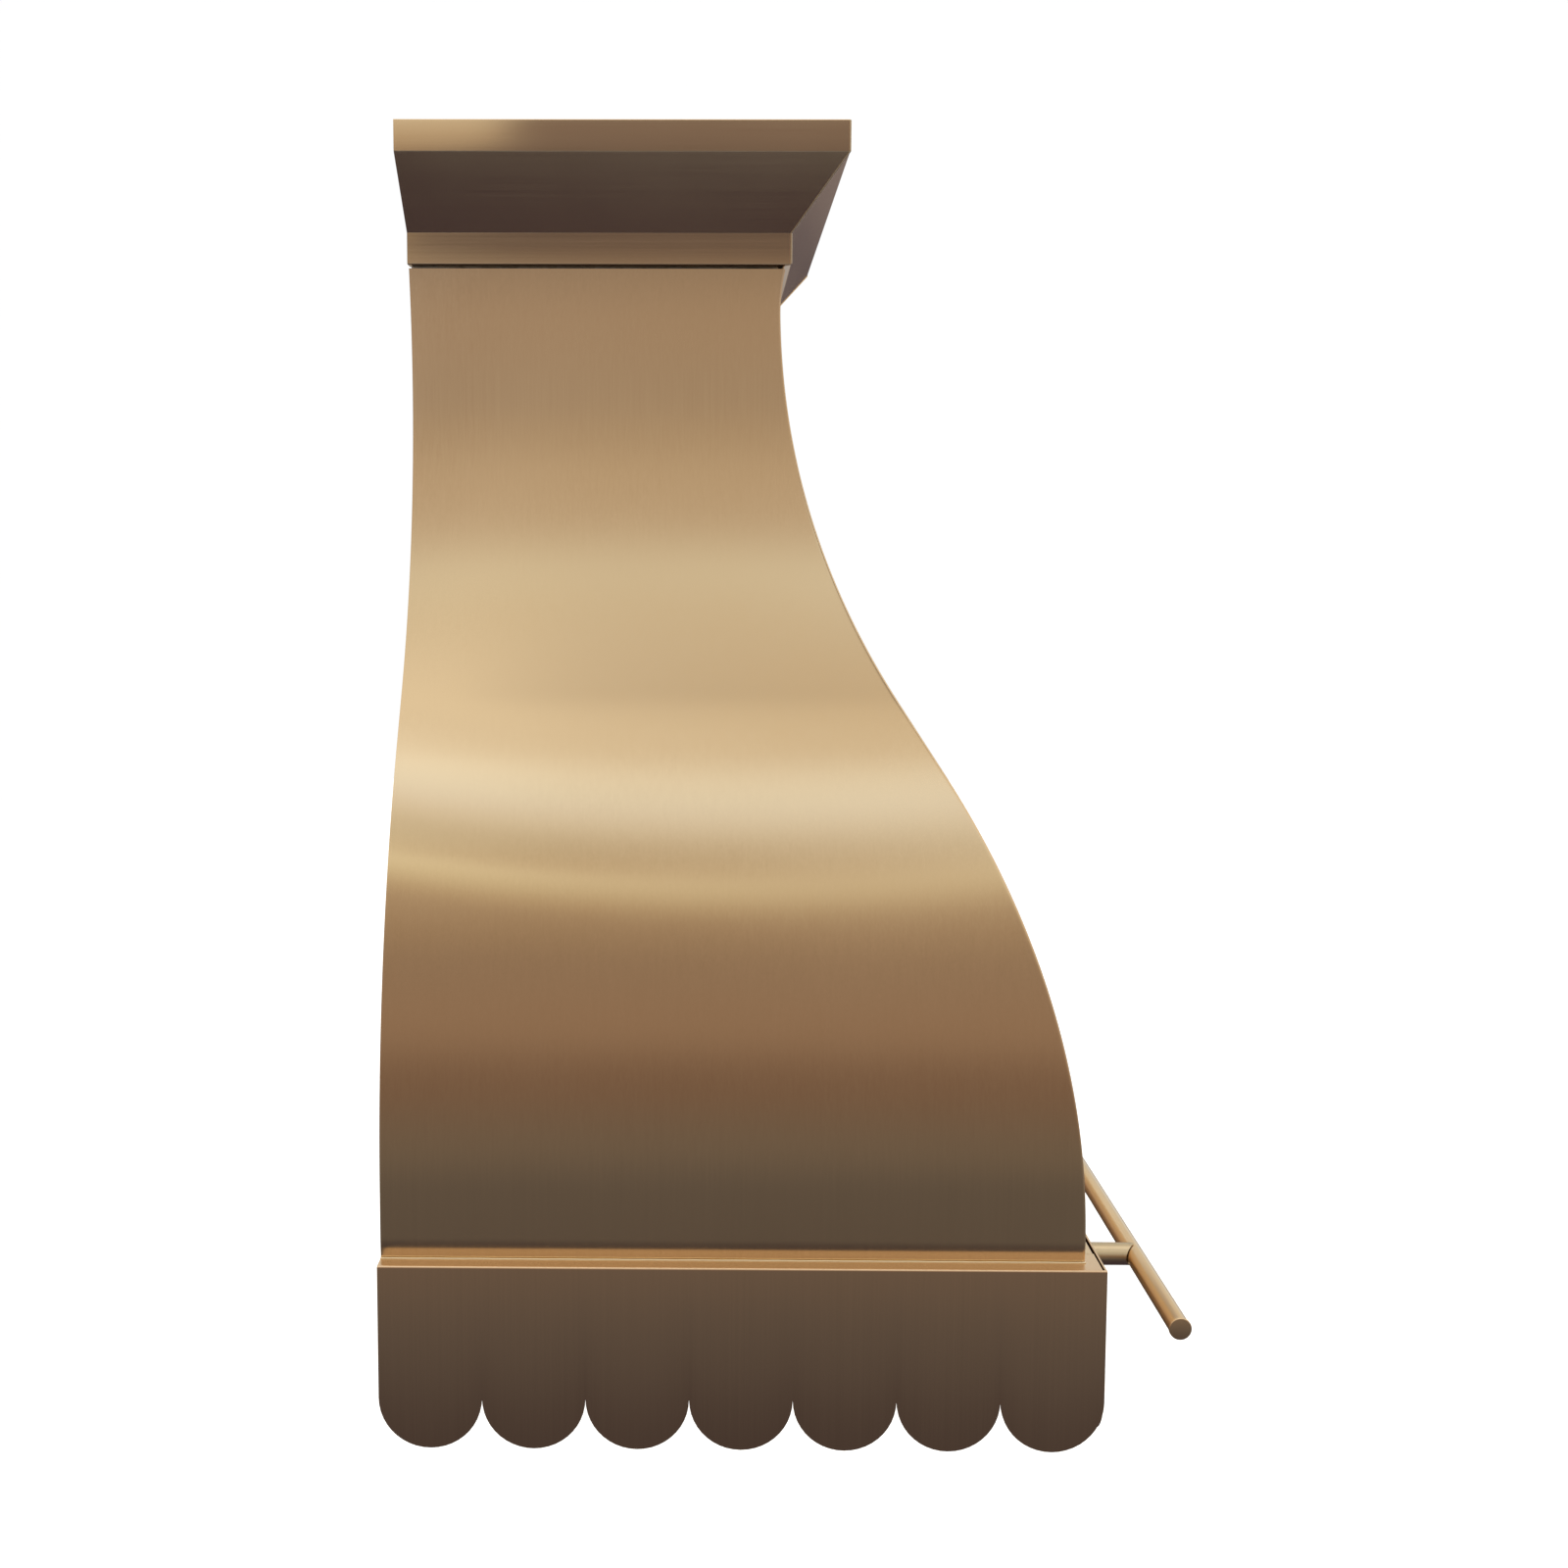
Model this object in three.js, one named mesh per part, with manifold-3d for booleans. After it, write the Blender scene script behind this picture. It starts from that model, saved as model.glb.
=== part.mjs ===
// Wall-mounted kitchen range hood: brass crown, ogee body, scalloped apron and front rail,
// with a stainless blower insert inside. Millimetres, +Z up. The wall is the plane y = 0, the
// front faces -Y, and the hood is symmetric about x = 0. The origin is the middle of the rear
// face of the wall bracket.
import * as THREE from 'three';
import { mergeVertices } from 'three/addons/utils/BufferGeometryUtils.js';
import Module from 'manifold-3d';

const wasm = await Module();
wasm.setup();

// ---------------------------------------------------------------- driving dimensions
const GAP = 0.3; // left between neighbouring pieces
const SHEET = 1.6; // brass sheet
const THIN = 1.5; // stainless and galvanised sheet
const WIDTH = 762; // over the apron sides
const DEPTH = 660; // wall to the front of the apron
const HEIGHT = 1223; // crown top to the lowest scallop
const TOP = 219; // crown top above the origin
const BOTTOM = TOP - HEIGHT;

const CROWN_TOP_HALF = 264.1; // half width over the fascia
const CROWN_DEPTH = 430;
const FASCIA_HEIGHT = 29.5;
const COVE_HEIGHT = 62.7;
const COVE_PROJECTION = 51.5;
const BAND_HEIGHT = 30.4;
const CROWN_TOP_RETURN = 25;
const CROWN_FOOT_RETURN = 12;
const SHADOW_GAP = 2.5; // between the crown and the body

const BODY_DROP = 1051.7; // crown top to the foot of the body
const FRONT_CURVE = {
  neckDrop: 149, // crown top to the narrowest point
  neck: 368.8, // offset from the wall there
  bellyDrop: 1035.5, // crown top to where the bulge turns vertical
  belly: 644.2,
  cove: 762.6, // radius of the hollow upper arc
  bulge: 789.5, // radius of the full lower arc
};
const SIDE_CURVE = {
  neckDrop: 248.75,
  neck: 194.9, // offsets from the middle plane
  bellyDrop: 987.1,
  belly: 367,
  cove: 710.6,
  bulge: 951.5,
};
const BODY_STEPS = 27;
const FRONT_LIP = { length: 45, out: 4.2 }; // top of the front, curling out under the crown

const APRON_TOP = TOP - 1052;
const LEDGE_WIDTH = 30; // folded top of the apron side, running under the body
const APRON_SEAM = 1.9; // dark joint behind the front apron
const SIDE_SCALLOPS = 7;
const FRONT_SCALLOPS = 8;
const SCALLOP_STEPS = 12;

const RAIL_RADIUS = 9.5;
const RAIL_Y = -727.1;
const RAIL_Z = TOP - 1105.9;
const RAIL_CAP = { length: 2, radius: 10.3 }; // a disc, its rim proud of the tube
const POST_RADIUS = 10.5;
const POST_X = WIDTH / 2 - 130;
const SCREW_RADIUS = 3;

const LINER_Z = -890; // underside of the liner pan
const LINER_RIM = 20;
const INSERT = { half: 325, front: -625, back: -55, top: LINER_Z - GAP };
const INSERT_BOTTOM = INSERT.top - THIN;
const CHAMBER = { half: 295, front: -508, back: -92, top: -632 }; // blower housing
const FILTER_WELL = { half: 289, front: -504, back: -96 };
const FILTER = { width: 285.5, front: -500, back: -102, bottom: -892, thickness: 16 };
const BAFFLES = 9;
const TRAY = { half: 285, front: -93, back: -61, depth: 30 };

const BLOWER = { y: -330, z: -745, half: 65.7, tongue: 88, mouth: 135, inlet: 70 };
const WHEEL = { radius: 78, inner: 66, half: 56, blades: 20 };
const MOTOR = { radius: 42, front: 9, nose: 14 };
const SHAFT_RADIUS = 4;
const COLLAR = { y: -256, radius: 100, wall: 1.2, height: 68, flange: 115 };
const DAMPER = {
  z: CHAMBER.top + THIN + 30,
  pin: 2.5,
  knuckle: 4,
  knuckleLength: 20,
  near: 3.5, // edge of each flap, from the pin's axis
  thickness: 1,
  radius: 97.5,
};
const JUNCTION = { x0: 170, x1: 270, y0: -200, y1: -130, height: 45, wall: 2 };
const GLAND = { y: -165, rise: 24, radius: 9.5, nut: 14, bore: 4.5 };
const DRAIN = { count: 5, pitch: 100, half: 30, width: 8 }; // slots over the grease tray

const LAMP_X = 235;
const STRIP_Y = -562; // centre line of the lamps and the controls
const LAMP = { hole: 31, radius: 30, flange: 35, wall: 2, height: 20 };
const BUTTON = { radius: 6.5, collar: 8.5, pitch: 30, length: 13, proud: 2.5 };
const BEZEL = { half: 72, depth: 38, thickness: 3 };

// ---------------------------------------------------------------- materials
function metal(color, roughness) {
  return new THREE.MeshStandardMaterial({ color, roughness, metalness: 1 });
}

function plain(color, roughness) {
  return new THREE.MeshStandardMaterial({ color, roughness, metalness: 0 });
}

const brass = metal(0xb28e62, 0.35);
const darkBrass = metal(0x6d5b48, 0.4);
const railBrass = metal(0xc79a63, 0.3);
const stainless = metal(0xb9bab8, 0.35);
const galvanised = metal(0x9aa0a3, 0.5);
const steel = metal(0x70757a, 0.5);
const blackPlastic = plain(0x202225, 0.5);
const whitePlastic = plain(0xe6e4de, 0.4);
const lensGlass = plain(0xf4f1e6, 0.15);

// ---------------------------------------------------------------- solids and booleans
const group = new THREE.Group();

function solid(geometry) {
  const bare = geometry.clone();
  bare.deleteAttribute('normal');
  bare.deleteAttribute('uv');
  const merged = mergeVertices(bare, 1e-4);
  const mesh = new wasm.Mesh({
    numProp: 3,
    vertProperties: new Float32Array(merged.attributes.position.array),
    triVerts: new Uint32Array(merged.index.array),
  });
  return new wasm.Manifold(mesh);
}

function geometryOf(manifold) {
  const mesh = manifold.getMesh();
  const geometry = new THREE.BufferGeometry();
  geometry.setAttribute('position', new THREE.BufferAttribute(mesh.vertProperties, 3));
  geometry.setIndex(new THREE.BufferAttribute(mesh.triVerts, 1));
  return geometry;
}

function part(name, manifold, material) {
  const mesh = new THREE.Mesh(geometryOf(manifold), material);
  mesh.name = name;
  group.add(mesh);
}

function box(x0, x1, y0, y1, z0, z1) {
  const geometry = new THREE.BoxGeometry(x1 - x0, y1 - y0, z1 - z0);
  geometry.translate((x0 + x1) / 2, (y0 + y1) / 2, (z0 + z1) / 2);
  return solid(geometry);
}

function extrusion(outline, depth) {
  const shape = new THREE.Shape(outline.map(([a, b]) => new THREE.Vector2(a, b)));
  return new THREE.ExtrudeGeometry(shape, { depth, bevelEnabled: false, steps: 1 });
}

const X = new THREE.Vector3(1, 0, 0);
const Y = new THREE.Vector3(0, 1, 0);
const Z = new THREE.Vector3(0, 0, 1);
const MINUS_Y = new THREE.Vector3(0, -1, 0);

// An outline in (y, z), extruded from x0 to x1.
function alongX(outline, x0, x1) {
  const geometry = extrusion(outline, x1 - x0);
  geometry.applyMatrix4(new THREE.Matrix4().makeBasis(Y, Z, X));
  geometry.translate(x0, 0, 0);
  return solid(geometry);
}

// An outline in (x, z), extruded from y1 forward to y0, where y0 < y1.
function alongY(outline, y0, y1) {
  const geometry = extrusion(outline, y1 - y0);
  geometry.applyMatrix4(new THREE.Matrix4().makeBasis(X, Z, MINUS_Y));
  geometry.translate(0, y1, 0);
  return solid(geometry);
}

// An outline in (x, y), extruded from z0 to z1.
function alongZ(outline, z0, z1) {
  const geometry = extrusion(outline, z1 - z0);
  geometry.translate(0, 0, z0);
  return solid(geometry);
}

function rod(radius, centre, length, axis, sides = 24) {
  const geometry = new THREE.CylinderGeometry(radius, radius, length, sides);
  geometry.applyQuaternion(new THREE.Quaternion().setFromUnitVectors(Y, axis));
  geometry.translate(...centre);
  return solid(geometry);
}

// A profile in (radius, height) turned about the vertical through (x, y).
function turned(profile, x, y, sides = 32) {
  const points = profile.map(([r, h]) => new THREE.Vector2(r, h));
  const geometry = new THREE.LatheGeometry(points, sides);
  geometry.applyMatrix4(new THREE.Matrix4().makeBasis(X, Z, MINUS_Y));
  geometry.translate(x, y, 0);
  return solid(geometry);
}

// The closed outline of a folded sheet whose outer face follows points; the sheet lies to the
// left of the direction of travel for a positive thickness.
function sheetOutline(points, thickness) {
  const inner = points.map((point, i) => {
    const before = points[Math.max(i - 1, 0)];
    const after = points[Math.min(i + 1, points.length - 1)];
    const into = i > 0 ? direction(before, point) : direction(point, after);
    const out = i < points.length - 1 ? direction(point, after) : into;
    const turn = 1 + into[0] * out[0] + into[1] * out[1];
    return [
      point[0] - (thickness * (into[1] + out[1])) / turn,
      point[1] + (thickness * (into[0] + out[0])) / turn,
    ];
  });
  return [...points, ...inner.reverse()];
}

function direction(a, b) {
  const length = Math.hypot(b[0] - a[0], b[1] - a[1]);
  return [(b[0] - a[0]) / length, (b[1] - a[1]) / length];
}

function mirrored(manifold) {
  return manifold.mirror([1, 0, 0]);
}

function partPair(name, leftSolid, material) {
  part(`${name}_left`, leftSolid, material);
  part(`${name}_right`, mirrored(leftSolid), material);
}

// ---------------------------------------------------------------- body curves
// Offset of an ogee at a drop below the crown top: a cove from the neck, a tangent straight, and
// a bulge to the belly, vertical below it. Above the neck the cove's arc runs on.
function ogee(curve) {
  const rise = curve.bellyDrop - curve.neckDrop;
  const run = curve.belly - curve.neck;
  const radii = curve.cove + curve.bulge;
  const reach = Math.hypot(rise, radii - run);
  const slope = Math.asin(Math.min(1, radii / reach)) - Math.atan2(radii - run, rise);
  const coveEnd = curve.neckDrop + curve.cove * Math.sin(slope);
  const bulgeStart = curve.bellyDrop - curve.bulge * Math.sin(slope);
  return (drop) => {
    if (drop >= curve.bellyDrop) {
      return curve.belly;
    }
    if (drop <= coveEnd) {
      return curve.neck + curve.cove - Math.sqrt(curve.cove ** 2 - (drop - curve.neckDrop) ** 2);
    }
    if (drop >= bulgeStart) {
      return curve.belly - curve.bulge + Math.sqrt(curve.bulge ** 2 - (curve.bellyDrop - drop) ** 2);
    }
    const coveFoot = curve.neck + curve.cove * (1 - Math.cos(slope));
    return coveFoot + (drop - coveEnd) * Math.tan(slope);
  };
}

const frontCurve = ogee(FRONT_CURVE);
const sideAt = ogee(SIDE_CURVE);
const CROWN_HEIGHT = FASCIA_HEIGHT + COVE_HEIGHT + BAND_HEIGHT;
const BODY_TOP_DROP = CROWN_HEIGHT + SHADOW_GAP;

function frontAt(drop) {
  const share = Math.max(0, 1 - (drop - BODY_TOP_DROP) / FRONT_LIP.length);
  return frontCurve(drop) + FRONT_LIP.out * share ** 2;
}

const drops = Array.from(
  { length: BODY_STEPS + 1 },
  (_, i) => BODY_TOP_DROP + ((BODY_DROP - BODY_TOP_DROP) * i) / BODY_STEPS,
);

// The block in front of the wall, bounded by the front curve set back by inset.
function frontBlock(inset) {
  const curve = drops.map((drop) => [-(frontAt(drop) - inset), TOP - drop]);
  return alongX([[1, curve[0][1]], ...curve, [1, curve.at(-1)[1]]], -WIDTH / 2, WIDTH / 2);
}

// The block between the two side curves set in by inset.
function sideBlock(inset, y0 = -DEPTH - 1, y1 = 0) {
  const left = drops.map((drop) => [-(sideAt(drop) - inset), TOP - drop]);
  const right = drops.map((drop) => [sideAt(drop) - inset, TOP - drop]).reverse();
  return alongY([...left, ...right], y0, y1);
}

const LEFT_HALF = box(-WIDTH, -1, -DEPTH * 2, WIDTH, -HEIGHT * 2, HEIGHT);

// ---------------------------------------------------------------- crown
const BAND_HALF = CROWN_TOP_HALF - COVE_PROJECTION;
const BAND_DEPTH = CROWN_DEPTH - COVE_PROJECTION;

// Crown section in (outward from the band face, z), outer face, from the top return to the foot.
const crownSection = sheetOutline(
  [
    [COVE_PROJECTION - CROWN_TOP_RETURN, TOP],
    [COVE_PROJECTION, TOP],
    [COVE_PROJECTION, TOP - FASCIA_HEIGHT],
    [0, TOP - FASCIA_HEIGHT - COVE_HEIGHT],
    [0, TOP - CROWN_HEIGHT],
    [-CROWN_FOOT_RETURN, TOP - CROWN_HEIGHT],
  ],
  -SHEET,
);

function crown() {
  const reach = 120;
  const past = 5;
  const low = TOP - CROWN_HEIGHT - past;
  const high = TOP + past;
  const frontWedge = alongZ(
    [
      [-CROWN_TOP_HALF - past + GAP, -CROWN_DEPTH - past],
      [CROWN_TOP_HALF + past - GAP, -CROWN_DEPTH - past],
      [CROWN_TOP_HALF - reach - GAP, -CROWN_DEPTH + reach],
      [-CROWN_TOP_HALF + reach + GAP, -CROWN_DEPTH + reach],
    ],
    low,
    high,
  );
  const leftWedge = alongZ(
    [
      [-CROWN_TOP_HALF - past, 1],
      [-CROWN_TOP_HALF - past, -CROWN_DEPTH - past],
      [-CROWN_TOP_HALF + reach, -CROWN_DEPTH + reach],
      [-CROWN_TOP_HALF + reach, 1],
    ],
    low,
    high,
  );
  const frontSection = crownSection.map(([out, z]) => [-BAND_DEPTH - out, z]);
  const leftSection = crownSection.map(([out, z]) => [-BAND_HALF - out, z]);
  const frontRun = alongX(frontSection, -CROWN_TOP_HALF, CROWN_TOP_HALF);
  const leftRun = alongY(leftSection, -CROWN_DEPTH, 0);
  part('crown_front', frontRun.intersect(frontWedge), brass);
  partPair('crown_side', leftRun.intersect(leftWedge), brass);
}

// Flat bars that stand inside the neck and join the crown to the body across the shadow gap.
function neckBars() {
  const half = 195.7;
  const front = -365.7;
  const back = -2.2;
  const thickness = 3;
  const lap = 40; // of each bar over the body and over the crown
  const bodyTop = TOP - BODY_TOP_DROP;
  const low = bodyTop - lap;
  const high = TOP - CROWN_HEIGHT + lap;
  part('neck_bar_front', box(-half, half, front, front + thickness, low, high), galvanised);
  const side = box(-half, -half + thickness, front + thickness + GAP, back, low, high)
    .add(box(-half, -half + thickness, back - GAP, -GAP, bodyTop + GAP, high));
  partPair('neck_bar', side, galvanised);
}

// ---------------------------------------------------------------- body
function body() {
  const between = sideBlock(SHEET + GAP);
  part('body_front', frontBlock(0).subtract(frontBlock(SHEET)).intersect(between), brass);
  const sides = sideBlock(0).subtract(sideBlock(SHEET, -DEPTH - 2, 1)).intersect(frontBlock(0));
  partPair('body_side', sides.intersect(LEFT_HALF), brass);
}

// Curved angles along the rear edges: one leg lies on the body side, the other faces the wall.
function rearStiffeners() {
  const leg = 25;
  const clear = SHEET + GAP;
  const flat = sideBlock(clear, -SHEET, 0).subtract(sideBlock(clear + leg, -SHEET - 1, 1));
  const deep = sideBlock(clear, -leg, 0).subtract(sideBlock(clear + SHEET, -leg - 1, 1));
  partPair('rear_stiffener', flat.add(deep).intersect(LEFT_HALF), galvanised);
}

// ---------------------------------------------------------------- wall fixing
const BRACKET_HALF = 150;
const BRACKET_RISE = 40;
const BRACKET_SHEET = 2.5;
const HANGER = { half: 188, thickness: 3, top: 22, y: -BRACKET_SHEET - GAP };

function wallFixing() {
  const lip = HANGER.thickness + 2 * GAP + 2 * BRACKET_SHEET;
  const section = sheetOutline(
    [
      [0, BRACKET_RISE],
      [0, -BRACKET_RISE],
      [-lip, -BRACKET_RISE],
      [-lip, -BRACKET_RISE + 25],
    ],
    -BRACKET_SHEET,
  );
  let bracket = alongX(section, -BRACKET_HALF, BRACKET_HALF);
  for (const x of [-120, -40, 40, 120]) {
    bracket = bracket.subtract(rod(3, [x, 0, BRACKET_RISE - 9], 20, Y, 16));
  }
  part('wall_bracket', bracket, steel);
  const foot = -BRACKET_RISE + BRACKET_SHEET + GAP;
  const y0 = HANGER.y - HANGER.thickness;
  part('hanger_bar', box(-HANGER.half, HANGER.half, y0, HANGER.y, foot, HANGER.top), steel);
}

// Folded angle across the back at the foot of the body, tying the two rear stiffeners.
function rearCrossBar() {
  const half = SIDE_CURVE.belly - 2 * SHEET - 2 * GAP - 1;
  const z = TOP - BODY_DROP + 2;
  const section = sheetOutline([[-3, z + 35], [-3, z], [-28, z]], -SHEET);
  part('rear_cross_bar', alongX(section, -half, half), galvanised);
}

// ---------------------------------------------------------------- apron
// Lower edge of a plate: straight top, semicircular scallops hanging below it.
function scallopOutline(start, end, count) {
  const pitch = (end - start) / count;
  const radius = pitch / 2;
  const outline = [[start, APRON_TOP]];
  for (let i = 0; i < count; i += 1) {
    const centre = start + pitch * (i + 0.5);
    for (let k = i === 0 ? 0 : 1; k <= SCALLOP_STEPS; k += 1) {
      const angle = Math.PI * (1 + k / SCALLOP_STEPS);
      outline.push([centre + radius * Math.cos(angle), BOTTOM + radius + radius * Math.sin(angle)]);
    }
  }
  outline.push([end, APRON_TOP]);
  return outline;
}

const APRON_HALF = WIDTH / 2;
const PLATE_BACK = -DEPTH + 2; // rear face of the front apron plate
const LEDGE_FRONT = PLATE_BACK + APRON_SEAM; // front edge of the ledge

function apron() {
  const plate = alongX(scallopOutline(-DEPTH, 0, SIDE_SCALLOPS), -APRON_HALF, -APRON_HALF + SHEET);
  const fold = box(-APRON_HALF, -APRON_HALF + LEDGE_WIDTH, LEDGE_FRONT, 0, APRON_TOP - SHEET, APRON_TOP);
  partPair('apron_side', plate.add(fold), darkBrass);

  const inner = APRON_HALF - LEDGE_WIDTH - GAP;
  const angle = sheetOutline(
    [[LEDGE_FRONT + LEDGE_WIDTH, APRON_TOP], [LEDGE_FRONT, APRON_TOP], [LEDGE_FRONT, APRON_TOP - 26]],
    SHEET,
  );
  part('ledge_front', alongX(angle, -inner, inner), brass);

  const end = APRON_HALF - SHEET - GAP; // the front plate stands between the sides
  let front = alongY(scallopOutline(-end, end, FRONT_SCALLOPS), -DEPTH, PLATE_BACK);
  for (const x of [-POST_X, POST_X]) {
    front = front.subtract(rod(SCREW_RADIUS + GAP, [x, -DEPTH, RAIL_Z], 20, Y, 16));
  }
  part('apron_front', front, darkBrass);
}

// ---------------------------------------------------------------- rail
function rail() {
  const half = WIDTH / 2 - RAIL_CAP.length - GAP;
  const bar = rod(RAIL_RADIUS, [0, RAIL_Y, RAIL_Z], 2 * half, X);
  part('rail_bar', bar, railBrass);
  const capCentre = [-WIDTH / 2 + RAIL_CAP.length / 2, RAIL_Y, RAIL_Z];
  partPair('rail_cap', rod(RAIL_CAP.radius, capCentre, RAIL_CAP.length, X), railBrass);

  const foot = -DEPTH - GAP;
  const cope = rod(RAIL_RADIUS + GAP, [-POST_X, RAIL_Y, RAIL_Z], 60, X);
  const thread = 20;
  const post = rod(POST_RADIUS, [-POST_X, (foot + RAIL_Y) / 2, RAIL_Z], foot - RAIL_Y, Y)
    .subtract(cope)
    .subtract(rod(SCREW_RADIUS + GAP, [-POST_X, foot, RAIL_Z], 2 * thread, Y, 16));
  partPair('rail_post', post, railBrass);

  const head = 4;
  const shankFront = foot - thread + 2;
  const headFront = PLATE_BACK + GAP;
  const shankBack = headFront + 1;
  const middle = [-POST_X, (shankFront + shankBack) / 2, RAIL_Z];
  const shank = rod(SCREW_RADIUS, middle, shankBack - shankFront, Y, 16);
  const screw = rod(6, [-POST_X, headFront + head / 2, RAIL_Z], head, Y, 16).add(shank);
  partPair('rail_screw', screw, steel);
}

// ---------------------------------------------------------------- liner and insert base
const LINER = { half: APRON_HALF - SHEET - 2 * GAP, front: LEDGE_FRONT + SHEET + 2, back: -4 };

function liner() {
  const { half, front, back } = LINER;
  const outer = box(-half, half, front, back, LINER_Z, LINER_Z + LINER_RIM);
  const floor = LINER_Z + THIN;
  const hollow = box(-half + THIN, half - THIN, front + THIN, back - THIN, floor, floor + LINER_RIM);
  const lap = 20; // of the insert base under the pan
  const hole = INSERT.half - lap;
  const opening = box(-hole, hole, INSERT.front + lap, INSERT.back - lap, LINER_Z - 1, LINER_Z + 5);
  part('liner_pan', outer.subtract(hollow).subtract(opening), stainless);
}

function insertBase() {
  let base = box(-INSERT.half, INSERT.half, INSERT.front, INSERT.back, INSERT_BOTTOM, INSERT.top);
  const low = INSERT_BOTTOM - 1;
  const high = INSERT.top + 1;
  const well = FILTER_WELL;
  base = base.subtract(box(-well.half, well.half, well.front, well.back, low, high));
  const slot = BEZEL.depth / 2 - 6;
  base = base.subtract(box(-BEZEL.half + 6, BEZEL.half - 6, STRIP_Y - slot, STRIP_Y + slot, low, high));
  for (let i = 0; i < DRAIN.count; i += 1) {
    const x = (i - (DRAIN.count - 1) / 2) * DRAIN.pitch;
    const y = (TRAY.front + TRAY.back) / 2;
    const drain = box(x - DRAIN.half, x + DRAIN.half, y - DRAIN.width / 2, y + DRAIN.width / 2, low, high);
    base = base.subtract(drain);
  }
  for (const x of [-LAMP_X, LAMP_X]) {
    base = base.subtract(rod(LAMP.hole, [x, STRIP_Y, INSERT.top], 10, Z, 32));
  }
  part('insert_base', base, stainless);
}

// ---------------------------------------------------------------- blower housing
function housing() {
  const foot = INSERT.top + GAP;
  const { half, front, back, top } = CHAMBER;
  const roof = top - GAP;
  const side = box(-half, -half + THIN, front, back, foot, roof);
  partPair('housing_side', side, galvanised);
  const inner = half - THIN - GAP;
  part('housing_front', box(-inner, inner, front, front + THIN, foot, roof), galvanised);
  part('housing_back', box(-inner, inner, back - THIN, back, foot, roof), galvanised);
  const outlet = rod(COLLAR.radius - COLLAR.wall, [0, COLLAR.y, top], 10, Z, 32);
  part('housing_top', box(-half, half, front, back, top, top + THIN).subtract(outlet), galvanised);
}

// Scroll line in (y, z): from the throat down round the wheel, growing to the rear, then up.
function scrollLine(top) {
  const line = [[BLOWER.y + 12, top]];
  const steps = 24;
  for (let i = 0; i <= steps; i += 1) {
    const turn = (i / steps) * 1.5 * Math.PI;
    const radius = BLOWER.tongue + ((BLOWER.mouth - BLOWER.tongue) * i) / steps;
    line.push([BLOWER.y - radius * Math.sin(turn), BLOWER.z + radius * Math.cos(turn)]);
  }
  line.push([BLOWER.y + BLOWER.mouth, top]);
  return line;
}

function blower() {
  const top = CHAMBER.top - 2 * GAP;
  const line = scrollLine(top);
  part('blower_scroll', alongX(sheetOutline(line, THIN), -BLOWER.half, BLOWER.half), galvanised);

  const sideX = -BLOWER.half - GAP;
  const inlet = rod(BLOWER.inlet, [sideX, BLOWER.y, BLOWER.z], 20, X, 32);
  const side = alongX(line, sideX - THIN, sideX).subtract(inlet);
  partPair('blower_side', side, galvanised);
}

function wheel() {
  const centre = (x) => [x, BLOWER.y, BLOWER.z];
  const ringWidth = 2;
  const { radius, inner, half } = WHEEL;
  let impeller = rod(radius, centre(0), ringWidth, X, 40);
  impeller = impeller.add(rod(11, centre(-7), 14, X));
  const bore = rod(SHAFT_RADIUS + GAP, centre(0), 60, X, 16);
  for (const x of [-half + ringWidth / 2, half - ringWidth / 2]) {
    const ring = rod(radius, centre(x), ringWidth, X, 40).subtract(rod(inner, centre(x), 10, X, 40));
    impeller = impeller.add(ring);
  }
  const blade = box(-half + 1, half - 1, -0.6, 0.6, inner + 1, radius - 1);
  for (let i = 0; i < WHEEL.blades; i += 1) {
    const turn = (360 * i) / WHEEL.blades;
    impeller = impeller.add(blade.rotate([turn, 0, 0]).translate(centre(0)));
  }
  part('impeller', impeller.subtract(bore), galvanised);
}

function motor() {
  const centre = (x) => [x, BLOWER.y, BLOWER.z];
  const { radius, front } = MOTOR;
  const back = BLOWER.half + GAP + THIN;
  const can = rod(radius, centre((front + back) / 2), back - front, X, 32);
  const nose = rod(MOTOR.nose, centre(front - 2), 4.4, X);
  const bore = rod(SHAFT_RADIUS + 2, centre(front), 30, X, 16);
  part('motor', can.add(nose).subtract(bore), steel);
  part('motor_shaft', rod(SHAFT_RADIUS, centre(1), 34, X, 16), steel);
  const x = back + GAP;
  const bar = box(x, x + 2, BLOWER.y - 14, BLOWER.y + 14, BLOWER.z - 84, BLOWER.z + 84);
  part('motor_bracket', bar.add(rod(36, centre(x + 1), 2, X)), steel);
}

// ---------------------------------------------------------------- duct collar and damper
function collar() {
  const foot = CHAMBER.top + THIN + GAP;
  const { y, radius, wall, height, flange } = COLLAR;
  const profile = [
    [radius - wall, foot],
    [flange, foot],
    [flange, foot + THIN],
    [radius, foot + THIN],
    [radius, foot + height],
    [radius - wall, foot + height],
    [radius - wall, foot],
  ];
  part('duct_collar', turned(profile, 0, y, 40), galvanised);
  part('damper_pin', rod(DAMPER.pin, [0, y, DAMPER.z], 2 * (radius - wall - 0.6), X, 16), steel);

  const rearKnuckles = 50;
  const frontKnuckles = 25;
  part('damper_flap_rear', flap(1, rearKnuckles, frontKnuckles), galvanised);
  part('damper_flap_front', flap(-1, frontKnuckles, rearKnuckles), galvanised);
}

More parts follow.
